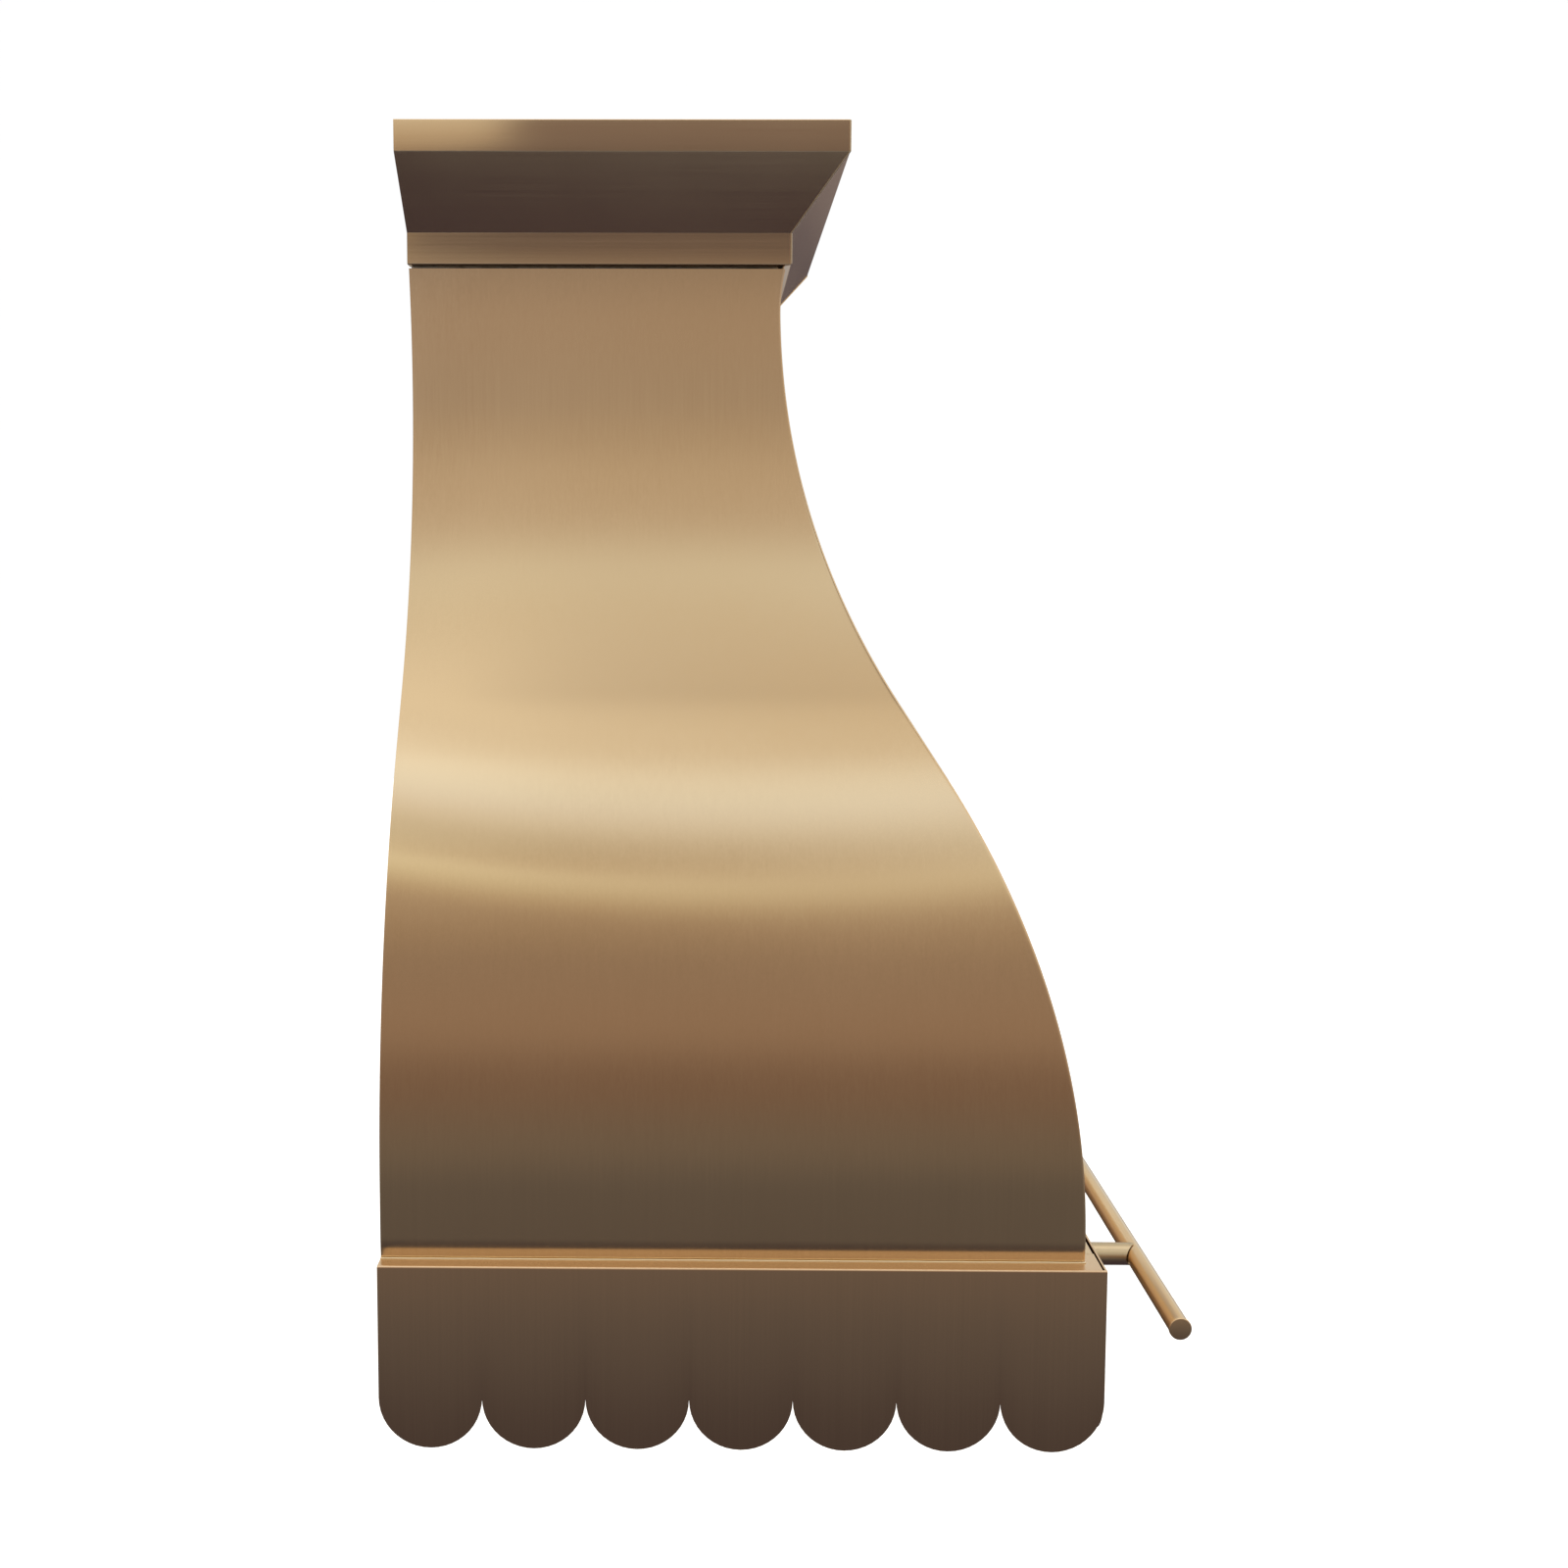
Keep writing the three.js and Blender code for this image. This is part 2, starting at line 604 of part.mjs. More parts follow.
// Half disc on one side of the pin, with two knuckles at plus and minus own, and notched at
// plus and minus other for the other flap's knuckles.
function flap(side, own, other) {
  const { radius, thickness, near, z } = DAMPER;
  const { y } = COLLAR;
  const edge = y + side * near;
  const far = y + side * WIDTH;
  const half = box(-WIDTH, WIDTH, Math.min(edge, far), Math.max(edge, far), -HEIGHT, 0);
  const plate = rod(radius, [0, y, z], thickness, Z, 40).intersect(half);
  const notches = knucklePair(other, 2 * GAP);
  const carried = plate.subtract(notches).add(knucklePair(own, 0));
  return carried.subtract(rod(DAMPER.pin + GAP, [0, y, z], WIDTH, X, 16));
}

function knucklePair(x, clearance) {
  const radius = DAMPER.knuckle + clearance;
  const length = DAMPER.knuckleLength + 2 * clearance;
  const ring = (at) => rod(radius, [at, COLLAR.y, DAMPER.z], length, X);
  return ring(x).add(ring(-x));
}

// ---------------------------------------------------------------- filters and grease tray
function filter() {
  const { width, front, back, bottom, thickness } = FILTER;
  const top = bottom + thickness;
  const x0 = -width - 1;
  const x1 = -1;
  const rim = 12;
  const frame = box(x0, x1, front, back, bottom, top);
  let pane = frame.subtract(box(x0 + rim, x1 - rim, front + rim, back - rim, bottom - 1, top + 1));
  const pitch = (width - 2 * rim) / BAFFLES;
  const slat = { width: pitch * 0.62, thickness: 2 };
  for (let i = 0; i < BAFFLES; i += 1) {
    const x = x0 + rim + pitch * (i + 0.5);
    pane = pane.add(baffle(x, slat, bottom + 3, front, back, rim));
    if (i > 0) {
      pane = pane.add(baffle(x - pitch / 2, slat, top - 5, front, back, rim));
    }
  }
  partPair('baffle_filter', pane, stainless);

  const handleX = (x0 + x1) / 2;
  const handleY = front + 22;
  const low = bottom - 20;
  const grip = box(handleX - 38, handleX + 38, handleY - 4, handleY + 4, low, bottom - GAP);
  const finger = box(handleX - 31, handleX + 31, handleY - 5, handleY + 5, low + 6, bottom + 1);
  partPair('filter_handle', grip.subtract(finger), blackPlastic);
}

function baffle(x, slat, z, front, back, rim) {
  const half = slat.width / 2;
  return box(x - half, x + half, front + rim - 2, back - rim + 2, z, z + slat.thickness);
}

function greaseTray() {
  const z = INSERT_BOTTOM - 2 * GAP;
  const { half, front, back, depth } = TRAY;
  const floor = z - depth;
  const outer = box(-half, half, front, back, floor, z);
  const hollow = box(-half + THIN, half - THIN, front + THIN, back - THIN, floor + THIN, z + 1);
  part('grease_tray', outer.subtract(hollow), stainless);
}

// ---------------------------------------------------------------- lamps and controls
function lamps() {
  const top = INSERT_BOTTOM - GAP;
  const rim = top - 2;
  const roof = top + LAMP.height;
  const inner = LAMP.radius - LAMP.wall;
  const profile = [
    [0, roof - LAMP.wall],
    [inner, roof - LAMP.wall],
    [inner, rim],
    [LAMP.flange, rim],
    [LAMP.flange, top],
    [LAMP.radius, top],
    [LAMP.radius, roof],
    [0, roof],
  ];
  partPair('lamp_housing', turned(profile, -LAMP_X, STRIP_Y), stainless);
  partPair('lamp_lens', rod(inner - GAP, [-LAMP_X, STRIP_Y, rim + 2.5], 3, Z, 32), lensGlass);
}

const BUTTON_NAMES = ['button_power', 'button_speed_low', 'button_speed_high', 'button_lamp'];

function controls() {
  const top = INSERT_BOTTOM - GAP;
  const low = top - BEZEL.thickness;
  const depth = BEZEL.depth / 2;
  let bezel = box(-BEZEL.half, BEZEL.half, STRIP_Y - depth, STRIP_Y + depth, low, top);
  const first = -((BUTTON_NAMES.length - 1) * BUTTON.pitch) / 2;
  const foot = low - BUTTON.proud;
  BUTTON_NAMES.forEach((name, i) => {
    const x = first + i * BUTTON.pitch;
    bezel = bezel.subtract(rod(BUTTON.radius + 0.4, [x, STRIP_Y, low], 20, Z));
    const profile = [
      [0, foot],
      [BUTTON.radius, foot],
      [BUTTON.radius, top + GAP],
      [BUTTON.collar, top + GAP],
      [BUTTON.collar, top + GAP + 2],
      [BUTTON.radius, top + GAP + 2],
      [BUTTON.radius, foot + BUTTON.length],
      [0, foot + BUTTON.length],
    ];
    part(name, turned(profile, x, STRIP_Y, 24), whitePlastic);
  });
  part('control_bezel', bezel, blackPlastic);
}

function junctionBox() {
  const { x0, x1, y0, y1, height, wall } = JUNCTION;
  const foot = CHAMBER.top + THIN + GAP;
  const rim = foot + height;
  const hollow = box(x0 + wall, x1 - wall, y0 + wall, y1 - wall, foot + wall, rim + 1);
  const knockout = rod(GLAND.radius + 0.5, [x1, GLAND.y, foot + GLAND.rise], 20, X);
  const shell = box(x0, x1, y0, y1, foot, rim).subtract(hollow).subtract(knockout);
  part('junction_box', shell, galvanised);
  part('junction_cover', box(x0, x1, y0, y1, rim + GAP, rim + wall), galvanised);

  const centre = [x1 + 4, GLAND.y, foot + GLAND.rise];
  const nut = 8;
  const gland = rod(GLAND.radius, centre, 22, X)
    .add(rod(GLAND.nut, [x1 + GAP + nut / 2, GLAND.y, foot + GLAND.rise], nut, X, 6))
    .subtract(rod(GLAND.bore, centre, 40, X, 16));
  part('cable_gland', gland, blackPlastic);
}

crown();
neckBars();
body();
rearStiffeners();
wallFixing();
rearCrossBar();
apron();
rail();
liner();
insertBase();
housing();
blower();
wheel();
motor();
collar();
filter();
greaseTray();
lamps();
controls();
junctionBox();

export default group;
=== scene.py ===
"""Looks of a wall-mounted range hood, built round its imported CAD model. Metres, +Z up.

The wall is the plane y = 0, the front faces -Y and the hood is symmetric about x = 0. Shell pieces
are lofts of closed sections, so that curves are smooth and folds are round; flat inner sheets are
the CAD nodes themselves with softened edges.
"""

from math import acos, asin, atan2, cos, hypot, pi, radians, sin, sqrt, tan

import bmesh
import bpy
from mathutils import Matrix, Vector


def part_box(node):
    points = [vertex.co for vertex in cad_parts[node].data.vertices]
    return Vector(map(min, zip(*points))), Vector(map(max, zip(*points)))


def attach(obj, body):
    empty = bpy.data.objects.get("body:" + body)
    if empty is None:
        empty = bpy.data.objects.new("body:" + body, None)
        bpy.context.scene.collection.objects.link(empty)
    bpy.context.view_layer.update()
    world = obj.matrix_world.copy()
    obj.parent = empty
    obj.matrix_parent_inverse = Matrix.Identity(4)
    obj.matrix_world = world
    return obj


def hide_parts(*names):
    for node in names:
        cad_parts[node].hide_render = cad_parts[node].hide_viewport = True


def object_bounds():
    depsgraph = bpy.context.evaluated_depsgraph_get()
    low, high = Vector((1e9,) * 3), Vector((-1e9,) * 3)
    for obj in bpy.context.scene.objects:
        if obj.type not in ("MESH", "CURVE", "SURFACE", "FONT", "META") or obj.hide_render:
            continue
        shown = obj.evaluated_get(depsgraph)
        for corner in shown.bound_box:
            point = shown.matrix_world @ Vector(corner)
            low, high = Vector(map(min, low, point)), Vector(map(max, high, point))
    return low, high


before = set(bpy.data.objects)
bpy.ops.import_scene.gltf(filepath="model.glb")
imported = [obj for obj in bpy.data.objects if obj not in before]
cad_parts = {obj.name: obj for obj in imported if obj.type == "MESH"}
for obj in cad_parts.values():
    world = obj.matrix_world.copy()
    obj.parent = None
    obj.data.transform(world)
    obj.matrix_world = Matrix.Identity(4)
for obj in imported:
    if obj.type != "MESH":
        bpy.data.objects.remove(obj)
CAD_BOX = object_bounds()

MM = 0.001
TOP = CAD_BOX[1].z
BOTTOM = CAD_BOX[0].z
SHEET = 1.6 * MM
GAP = 0.3 * MM
FLOOR_Z = BOTTOM - 1.68  # the hood hangs this high over the kitchen floor


# ---------------------------------------------------------------- shader nodes
def link(tree, source, socket):
    tree.links.new(source, socket)


def math_node(tree, operation, *values):
    """One sum; each value is a number or another node's output."""
    node = tree.nodes.new("ShaderNodeMath")
    node.operation = operation
    for socket, value in zip(node.inputs, values):
        if isinstance(value, (int, float)):
            socket.default_value = value
        else:
            link(tree, value, socket)
    return node.outputs["Value"]


def smooth_step(tree, value, start, end, low, high):
    """Low up to start, high from end on, and a smooth bend between."""
    node = tree.nodes.new("ShaderNodeMapRange")
    node.interpolation_type = "SMOOTHSTEP"
    for name, number in zip(("From Min", "From Max", "To Min", "To Max"), (start, end, low, high)):
        node.inputs[name].default_value = number
    link(tree, value, node.inputs["Value"])
    return node.outputs["Result"]


def ramp(tree, value, stops):
    """Colour ramp over value, which runs from 0 to 1; stops are (value, colour) pairs."""
    node = tree.nodes.new("ShaderNodeValToRGB")
    node.color_ramp.interpolation = "EASE"
    elements = node.color_ramp.elements
    while len(elements) < len(stops):
        elements.new(0.5)
    for element, (place, colour) in zip(elements, stops):
        element.position = place
        element.color = (*colour, 1)
    link(tree, value, node.inputs["Fac"])
    return node.outputs["Color"]


# ---------------------------------------------------------------- camera and studio
# The camera looks nearly square-on at the hood's left side, from a little above its middle.
EYE = (-1.5151, -0.2958, -0.2013)
TURN = (86.1497, -0.1755, -89.5969)  # degrees about X, Y and Z
LENS = 29.84  # mm, on Blender's 36 mm sensor
SHIFT = (0.0555, -0.0822)  # of the frame, as shares of its width


def camera():
    data = bpy.data.cameras.new("camera")
    data.lens = LENS
    data.shift_x, data.shift_y = SHIFT
    data.clip_end = 60
    eye = bpy.data.objects.new("camera", data)
    eye.location = EYE
    eye.rotation_euler = [radians(angle) for angle in TURN]
    bpy.context.scene.collection.objects.link(eye)
    bpy.context.scene.camera = eye
    bpy.context.scene.view_settings.view_transform = "Standard"


# Elevation in degrees and colour of the room round the hood: a dark floor, warm walls, a strip of
# daylight above them and a pale ceiling.
ROOM = [
    (-90, (0.063, 0.048, 0.069)),
    (-60, (0.058, 0.043, 0.061)),
    (-36, (0.078, 0.066, 0.072)),
    (-25, (0.135, 0.125, 0.125)),
    (-20, (0.185, 0.162, 0.148)),
    (-10, (0.218, 0.154, 0.126)),
    (-2, (0.34, 0.255, 0.205)),
    (8, (0.33, 0.26, 0.215)),
    (12, (0.39, 0.31, 0.24)),
    (16, (0.48, 0.40, 0.32)),
    (22, (0.50, 0.425, 0.35)),
    (28, (0.68, 0.68, 0.62)),
    (34, (0.59, 0.53, 0.42)),
    (40, (0.62, 0.55, 0.44)),
    (44, (0.72, 0.66, 0.55)),
    (60, (0.82, 0.79, 0.74)),
    (90, (1.30, 1.26, 1.18)),
]

# Soft lights in the room: azimuth and elevation in degrees, sharpness, and colour. Azimuth 0 is -X
# and 90 is -Y. The first three are a broad one before the hood, one over the wall and a cool
# window to the front right; each side then has two narrow ones.
LOBES = [
    (90, 24, 5, (0.46, 0.46, 0.46)),
    (-90, 50, 4, (0.16, 0.16, 0.16)),
    (146, 9, 30, (0.40, 0.62, 0.85)),
    (-17, 40, 70, (0.20, 0.26, 0.32)),
    (14, 31, 110, (0.14, 0.22, 0.32)),
    (197, 40, 70, (0.20, 0.26, 0.32)),
    (166, 31, 110, (0.14, 0.22, 0.32)),
]


def lobe(tree, direction, azimuth, elevation, sharpness, colour):
    """Light that falls off round one direction."""
    a, e = radians(azimuth), radians(elevation)
    centre = (-cos(a) * cos(e), -sin(a) * cos(e), sin(e))
    dot = tree.nodes.new("ShaderNodeVectorMath")
    dot.operation = "DOT_PRODUCT"
    dot.inputs[1].default_value = centre
    link(tree, direction, dot.inputs[0])
    falloff = math_node(tree, "MULTIPLY_ADD", dot.outputs["Value"], sharpness, -sharpness)
    strength = math_node(tree, "EXPONENT", falloff)
    scale = tree.nodes.new("ShaderNodeVectorMath")
    scale.operation = "SCALE"
    scale.inputs[0].default_value = colour
    link(tree, strength, scale.inputs["Scale"])
    return scale.outputs["Vector"]


def studio():
    """Soft studio light from all round: a world that only surfaces see, before a white backdrop."""
    world = bpy.data.worlds.new("studio")
    bpy.context.scene.world = world
    world.use_nodes = True
    tree = world.node_tree
    background = tree.nodes["Background"]
    direction = tree.nodes.new("ShaderNodeTexCoord").outputs["Generated"]
    split = tree.nodes.new("ShaderNodeSeparateXYZ")
    link(tree, direction, split.inputs[0])
    height = math_node(tree, "MULTIPLY_ADD", split.outputs["Z"], 0.5, 0.5)
    stops = [(0.5 + 0.5 * sin(radians(degrees)), colour) for degrees, colour in ROOM]
    light = ramp(tree, height, stops)
    for description in LOBES:
        add = tree.nodes.new("ShaderNodeVectorMath")
        link(tree, light, add.inputs[0])
        link(tree, lobe(tree, direction, *description), add.inputs[1])
        light = add.outputs["Vector"]
    link(tree, light, background.inputs["Color"])
    world.cycles_visibility.camera = False


def stage_material(name, colour, emission):
    """Matt colour that also glows white."""
    material = bpy.data.materials.new(name)
    material.use_nodes = True
    shader = material.node_tree.nodes["Principled BSDF"]
    shader.inputs["Base Color"].default_value = (*colour, 1)
    shader.inputs["Roughness"].default_value = 0.9
    shader.inputs["Emission Color"].default_value = (1, 1, 1, 1)
    shader.inputs["Emission Strength"].default_value = emission
    return material


def stage_object(name, bm, material):
    mesh = bpy.data.meshes.new(name)
    bm.to_mesh(mesh)
    bm.free()
    mesh.materials.append(material)
    obj = bpy.data.objects.new(name, mesh)
    bpy.context.scene.collection.objects.link(obj)
    return obj


FLOOR_RADIUS, BACKDROP_RADIUS = 14, 16
SOFT_RAYS = ("diffuse", "transmission", "volume_scatter", "shadow")


def hide_from(obj, rays):
    for ray in rays:
        setattr(obj, "visible_" + ray, False)


def floor_and_backdrop():
    bm = bmesh.new()
    bmesh.ops.create_circle(bm, cap_ends=True, segments=96, radius=FLOOR_RADIUS)
    bmesh.ops.translate(bm, vec=(0, 0, FLOOR_Z), verts=bm.verts)
    floor = stage_object("floor", bm, stage_material("floor", (0.86, 0.86, 0.86), 0.62))
    hide_from(floor, ("glossy", "diffuse"))
    bm = bmesh.new()
    bmesh.ops.create_uvsphere(bm, u_segments=48, v_segments=24, radius=BACKDROP_RADIUS)
    backdrop = stage_object("backdrop", bm, stage_material("backdrop", (0, 0, 0), 1.0))
    hide_from(backdrop, ("glossy", *SOFT_RAYS))


# A light card stands upright on each side of the hood, this far out from the middle plane.
CARD_X = 0.70
CARD_LOW, CARD_HIGH = -0.50, 0.60
CARD_FRONT, CARD_BACK = -1.1, 0.4
# Its bands are lowest at this y, and rise with the square of the distance from it.
CARD_MIDDLE = -0.33
RISE = 0.30
FLAG_COLOUR = (0.17, 0.135, 0.145, 1)
# Height and added light of its bands: a thin strip light, and a large cool softbox above it.
CARD_LIGHT = [
    (-0.440, (0, 0, 0)),
    (-0.416, (0.08, 0.08, 0.05)),
    (-0.389, (0.21, 0.25, 0.2)),
    (-0.362, (0.31, 0.37, 0.33)),
    (-0.336, (0.12, 0.13, 0.1)),
    (-0.305, (0.06, 0.07, 0.05)),
    (-0.276, (0.04, 0.04, 0.03)),
    (-0.245, (0.12, 0.14, 0.17)),
    (-0.205, (0.2, 0.26, 0.37)),
    (-0.170, (0.25, 0.35, 0.46)),
    (-0.110, (0.28, 0.36, 0.44)),
    (-0.070, (0.17, 0.21, 0.24)),
    (-0.050, (0.12, 0.14, 0.15)),
    (-0.034, (0.13, 0.15, 0.16)),
    (-0.018, (0.02, 0.02, 0.01)),
    (-0.008, (0.03, 0.03, 0.02)),
    (0.008, (0.15, 0.17, 0.18)),
    (0.028, (0.1, 0.11, 0.1)),
    (0.085, (0.1, 0.11, 0.1)),
    (0.120, (0, 0, 0)),
    (0.240, (0, 0, 0)),
    (0.280, (0.07, 0.06, 0.04)),
]


def card_light(tree, y, z):
    """Colour of the bands of CARD_LIGHT."""
    off_middle = math_node(tree, "ADD", y, -CARD_MIDDLE)
    arch = math_node(tree, "MULTIPLY", off_middle, off_middle)
    height = math_node(tree, "MULTIPLY_ADD", arch, -RISE, z)
    span = CARD_HIGH - CARD_LOW
    share = math_node(tree, "MULTIPLY_ADD", height, 1 / span, -CARD_LOW / span)
    return ramp(tree, share, [((h - CARD_LOW) / span, colour) for h, colour in CARD_LIGHT])


def flag_cover(tree, y, z):
    """1 where the dark flag hides what is behind the card: above the bands, clear of the wall."""
    edge = math_node(tree, "ADD", y, smooth_step(tree, z, 0.25, 0.33, 0, 0.15))
    above = smooth_step(tree, z, 0.12, 0.165, 0, 1)
    return math_node(tree, "MULTIPLY", above, smooth_step(tree, edge, 0.08, 0.15, 1, 0))


def card_material():
    """Adds the bands to what is behind the card, brighter near the wall, and a flag over them."""
    material = bpy.data.materials.new("card")
    material.use_nodes = True
    material.cycles.emission_sampling = "NONE"
    tree = material.node_tree
    tree.nodes.clear()
    split = tree.nodes.new("ShaderNodeSeparateXYZ")
    link(tree, tree.nodes.new("ShaderNodeTexCoord").outputs["Object"], split.inputs[0])
    y, z = split.outputs["Y"], split.outputs["Z"]
    bands = tree.nodes.new("ShaderNodeEmission")
    link(tree, card_light(tree, y, z), bands.inputs["Color"])
    link(tree, smooth_step(tree, y, -0.16, 0.06, 1.0, 1.25), bands.inputs["Strength"])
    flag = tree.nodes.new("ShaderNodeEmission")
    flag.inputs["Color"].default_value = FLAG_COLOUR
    link(tree, smooth_step(tree, z, 0.22, 0.36, 0.66, 1.0), flag.inputs["Strength"])
    clear = tree.nodes.new("ShaderNodeBsdfTransparent")
    behind = tree.nodes.new("ShaderNodeMixShader")
    link(tree, flag_cover(tree, y, z), behind.inputs[0])
    link(tree, clear.outputs[0], behind.inputs[1])
    link(tree, flag.outputs[0], behind.inputs[2])
    both = tree.nodes.new("ShaderNodeAddShader")
    link(tree, bands.outputs[0], both.inputs[0])
    link(tree, behind.outputs[0], both.inputs[1])
    output = tree.nodes.new("ShaderNodeOutputMaterial")
    link(tree, both.outputs[0], output.inputs["Surface"])
    return material


def rectangle(low, high):
    """Corners of a rectangle, in order round it."""
    return [(low[0], low[1]), (high[0], low[1]), (high[0], high[1]), (low[0], high[1])]


# A third card lies flat below the opening and lights the insert.
LOW_CARD = rectangle((-0.34, -0.62), (0.34, -0.05))
LOW_CARD_Z = BOTTOM - 0.75


def light_card(name, corners, material, rays):
    bm = bmesh.new()
    bm.faces.new([bm.verts.new(corner) for corner in corners])
    hide_from(stage_object(name, bm, material), rays)


def light_cards():
    glow = stage_material("low_card", (0, 0, 0), 0.9)
    light_card("card_below", [(x, y, LOW_CARD_Z) for x, y in LOW_CARD], glow, ["camera"])
    material = card_material()
    outline = rectangle((CARD_FRONT, CARD_LOW), (CARD_BACK, CARD_HIGH))
    for side in (-1, 1):
        corners = [(side * CARD_X, y, z) for y, z in outline]
        light_card("card_" + mirror_name(side), corners, material, ("camera", *SOFT_RAYS))


# ---------------------------------------------------------------- materials
def noise(tree, coordinates, scale, detail=2.0, roughness=0.5):
    """Noise over coordinates stretched by scale, a triple; its value is about 0.5 on average."""
    stretch = tree.nodes.new("ShaderNodeVectorMath")
    stretch.operation = "MULTIPLY"
    stretch.inputs[1].default_value = scale
    link(tree, coordinates, stretch.inputs[0])
    texture = tree.nodes.new("ShaderNodeTexNoise")
    texture.inputs["Scale"].default_value = 1.0
    texture.inputs["Detail"].default_value = detail
    texture.inputs["Roughness"].default_value = roughness
    link(tree, stretch.outputs["Vector"], texture.inputs["Vector"])
    return texture.outputs["Fac"]


def mixed(tree, parts, offset=0.0):
    """Sum of value times weight over parts, plus offset."""
    total = offset
    for value, weight in parts:
        total = math_node(tree, "MULTIPLY_ADD", value, weight, total)
    return total


def colour_mix(tree, factor, low, high):
    mix = tree.nodes.new("ShaderNodeMix")
    mix.data_type = "RGBA"
    mix.clamp_factor = True
    mix.inputs["A"].default_value = (*low, 1)
    mix.inputs["B"].default_value = (*high, 1)
    link(tree, factor, mix.inputs["Factor"])
    return mix.outputs["Result"]


def bump(tree, height, strength, distance):
    node = tree.nodes.new("ShaderNodeBump")
    node.inputs["Strength"].default_value = strength
    node.inputs["Distance"].default_value = distance
    link(tree, height, node.inputs["Height"])
    return node.outputs["Normal"]


def new_material(name):
    material = bpy.data.materials.new(name)
    material.use_nodes = True
    tree = material.node_tree
    coordinates = tree.nodes.new("ShaderNodeTexCoord").outputs["Object"]
    return material, tree, tree.nodes["Principled BSDF"], coordinates


def stretched(along, fine, length):
    """Scale triple for streaks that run along an axis: fine across it, length along it."""
    return tuple(length if axis == along else fine for axis in "xyz")


def brushed_metal(name, dark, light, rough, along, spread, relief):
    """Metal with a directional brushed finish: streaks of colour, gloss and height run along an
    axis, and reflections are drawn out across it."""
    material, tree, shader, at = new_material(name)
    fine = noise(tree, at, stretched(along, 1300, 5), 2.0, 0.6)
    coarse = noise(tree, at, stretched(along, 240, 1.0), 2.0)
    cloud = noise(tree, at, (4.2, 4.2, 4.2), 3.0)
    tone = mixed(tree, [(fine, 0.9), (coarse, 0.35), (cloud, 0.5)], -0.375)
    link(tree, colour_mix(tree, tone, dark, light), shader.inputs["Base Color"])
    gloss = mixed(tree, [(fine, 0.08), (coarse, 0.05), (cloud, 0.10)], rough - 0.115)
    link(tree, gloss, shader.inputs["Roughness"])
    height = mixed(tree, [(fine, 0.6), (coarse, 0.4)])
    link(tree, bump(tree, height, relief, 0.0002), shader.inputs["Normal"])
    shader.inputs["Metallic"].default_value = 1.0
    shader.inputs["Anisotropic"].default_value = spread
    across = tree.nodes.new("ShaderNodeCombineXYZ")
    for axis, value in zip("XYZ", {"z": (1, 1, 0), "y": (0, 0, 1), "x": (0, 0, 1)}[along]):
        across.inputs[axis].default_value = value
    link(tree, across.outputs["Vector"], shader.inputs["Tangent"])
    return material


BRASS_DARK = (0.74, 0.545, 0.335)
BRASS_LIGHT = (0.84, 0.635, 0.405)


def brass_body():
    """Sheet brass, brushed upright."""
    return brushed_metal("brass_body", BRASS_DARK, BRASS_LIGHT, 0.21, "z", 0.85, 0.04)


def brass_crown():
    """The same brass brushed along the crown's sides."""
    return brushed_metal("brass_crown", BRASS_DARK, BRASS_LIGHT, 0.21, "y", 0.6, 0.04)


def brass_crown_front():
    """The same brass brushed along the crown's front."""
    return brushed_metal("brass_crown_front", BRASS_DARK, BRASS_LIGHT, 0.21, "x", 0.6, 0.04)


def brass_apron():
    """A darker sheet, brushed upright."""
    dark, light = (0.67, 0.475, 0.31), (0.77, 0.56, 0.37)
    return brushed_metal("brass_apron", dark, light, 0.22, "z", 0.8, 0.04)


def brass_post():
    """Darker bar brass, brushed along the posts."""
    return brushed_metal("brass_post", (0.60, 0.48, 0.31), (0.68, 0.55, 0.36), 0.30, "y", 0.2, 0.03)


def brass_rail():
    """Paler tube brass, brushed along the rail."""
    return brushed_metal("brass_rail", (0.80, 0.59, 0.36), (0.86, 0.65, 0.41), 0.30, "x", 0.2, 0.03)


def brass_bead_painted_highlight():
    """Brazing brass dressed along its length, its colour painted paler than the sheet it joins as a
    painted highlight on the beads.
    """
    return brushed_metal("brass_bead_painted_highlight", (0.92, 0.78, 0.54), (0.97, 0.84, 0.60), 0.34, "z", 0.2, 0.03)


def stainless(along):
    """Satin stainless sheet, rolled along an axis."""
    name = "stainless_" + along
    return brushed_metal(name, (0.50, 0.50, 0.505), (0.66, 0.655, 0.65), 0.27, along, 0.6, 0.07)


def galvanised():
    """Hot-dip galvanised sheet: zinc crystals of many tones, dulled in patches."""
    material, tree, shader, at = new_material("galvanised")
    crystals = tree.nodes.new("ShaderNodeTexVoronoi")
    crystals.inputs["Scale"].default_value = 90
    link(tree, at, crystals.inputs["Vector"])
    tone = tree.nodes.new("ShaderNodeSeparateColor")
    link(tree, crystals.outputs["Color"], tone.inputs["Color"])
    cloud = noise(tree, at, (9, 9, 9), 4.0)
    grain = noise(tree, at, (900, 900, 900), 2.0)
    shade = mixed(tree, [(tone.outputs["Red"], 0.45), (cloud, 0.7), (grain, 0.3)], -0.25)
    colour = colour_mix(tree, shade, (0.42, 0.44, 0.46), (0.66, 0.68, 0.69))
    link(tree, colour, shader.inputs["Base Color"])
    gloss = mixed(tree, [(tone.outputs["Green"], 0.16), (cloud, 0.25), (grain, 0.06)], 0.15)
    link(tree, gloss, shader.inputs["Roughness"])
    height = mixed(tree, [(tone.outputs["Blue"], 0.5), (grain, 0.5)])
    link(tree, bump(tree, height, 0.12, 0.0002), shader.inputs["Normal"])
    shader.inputs["Metallic"].default_value = 1.0
    return material


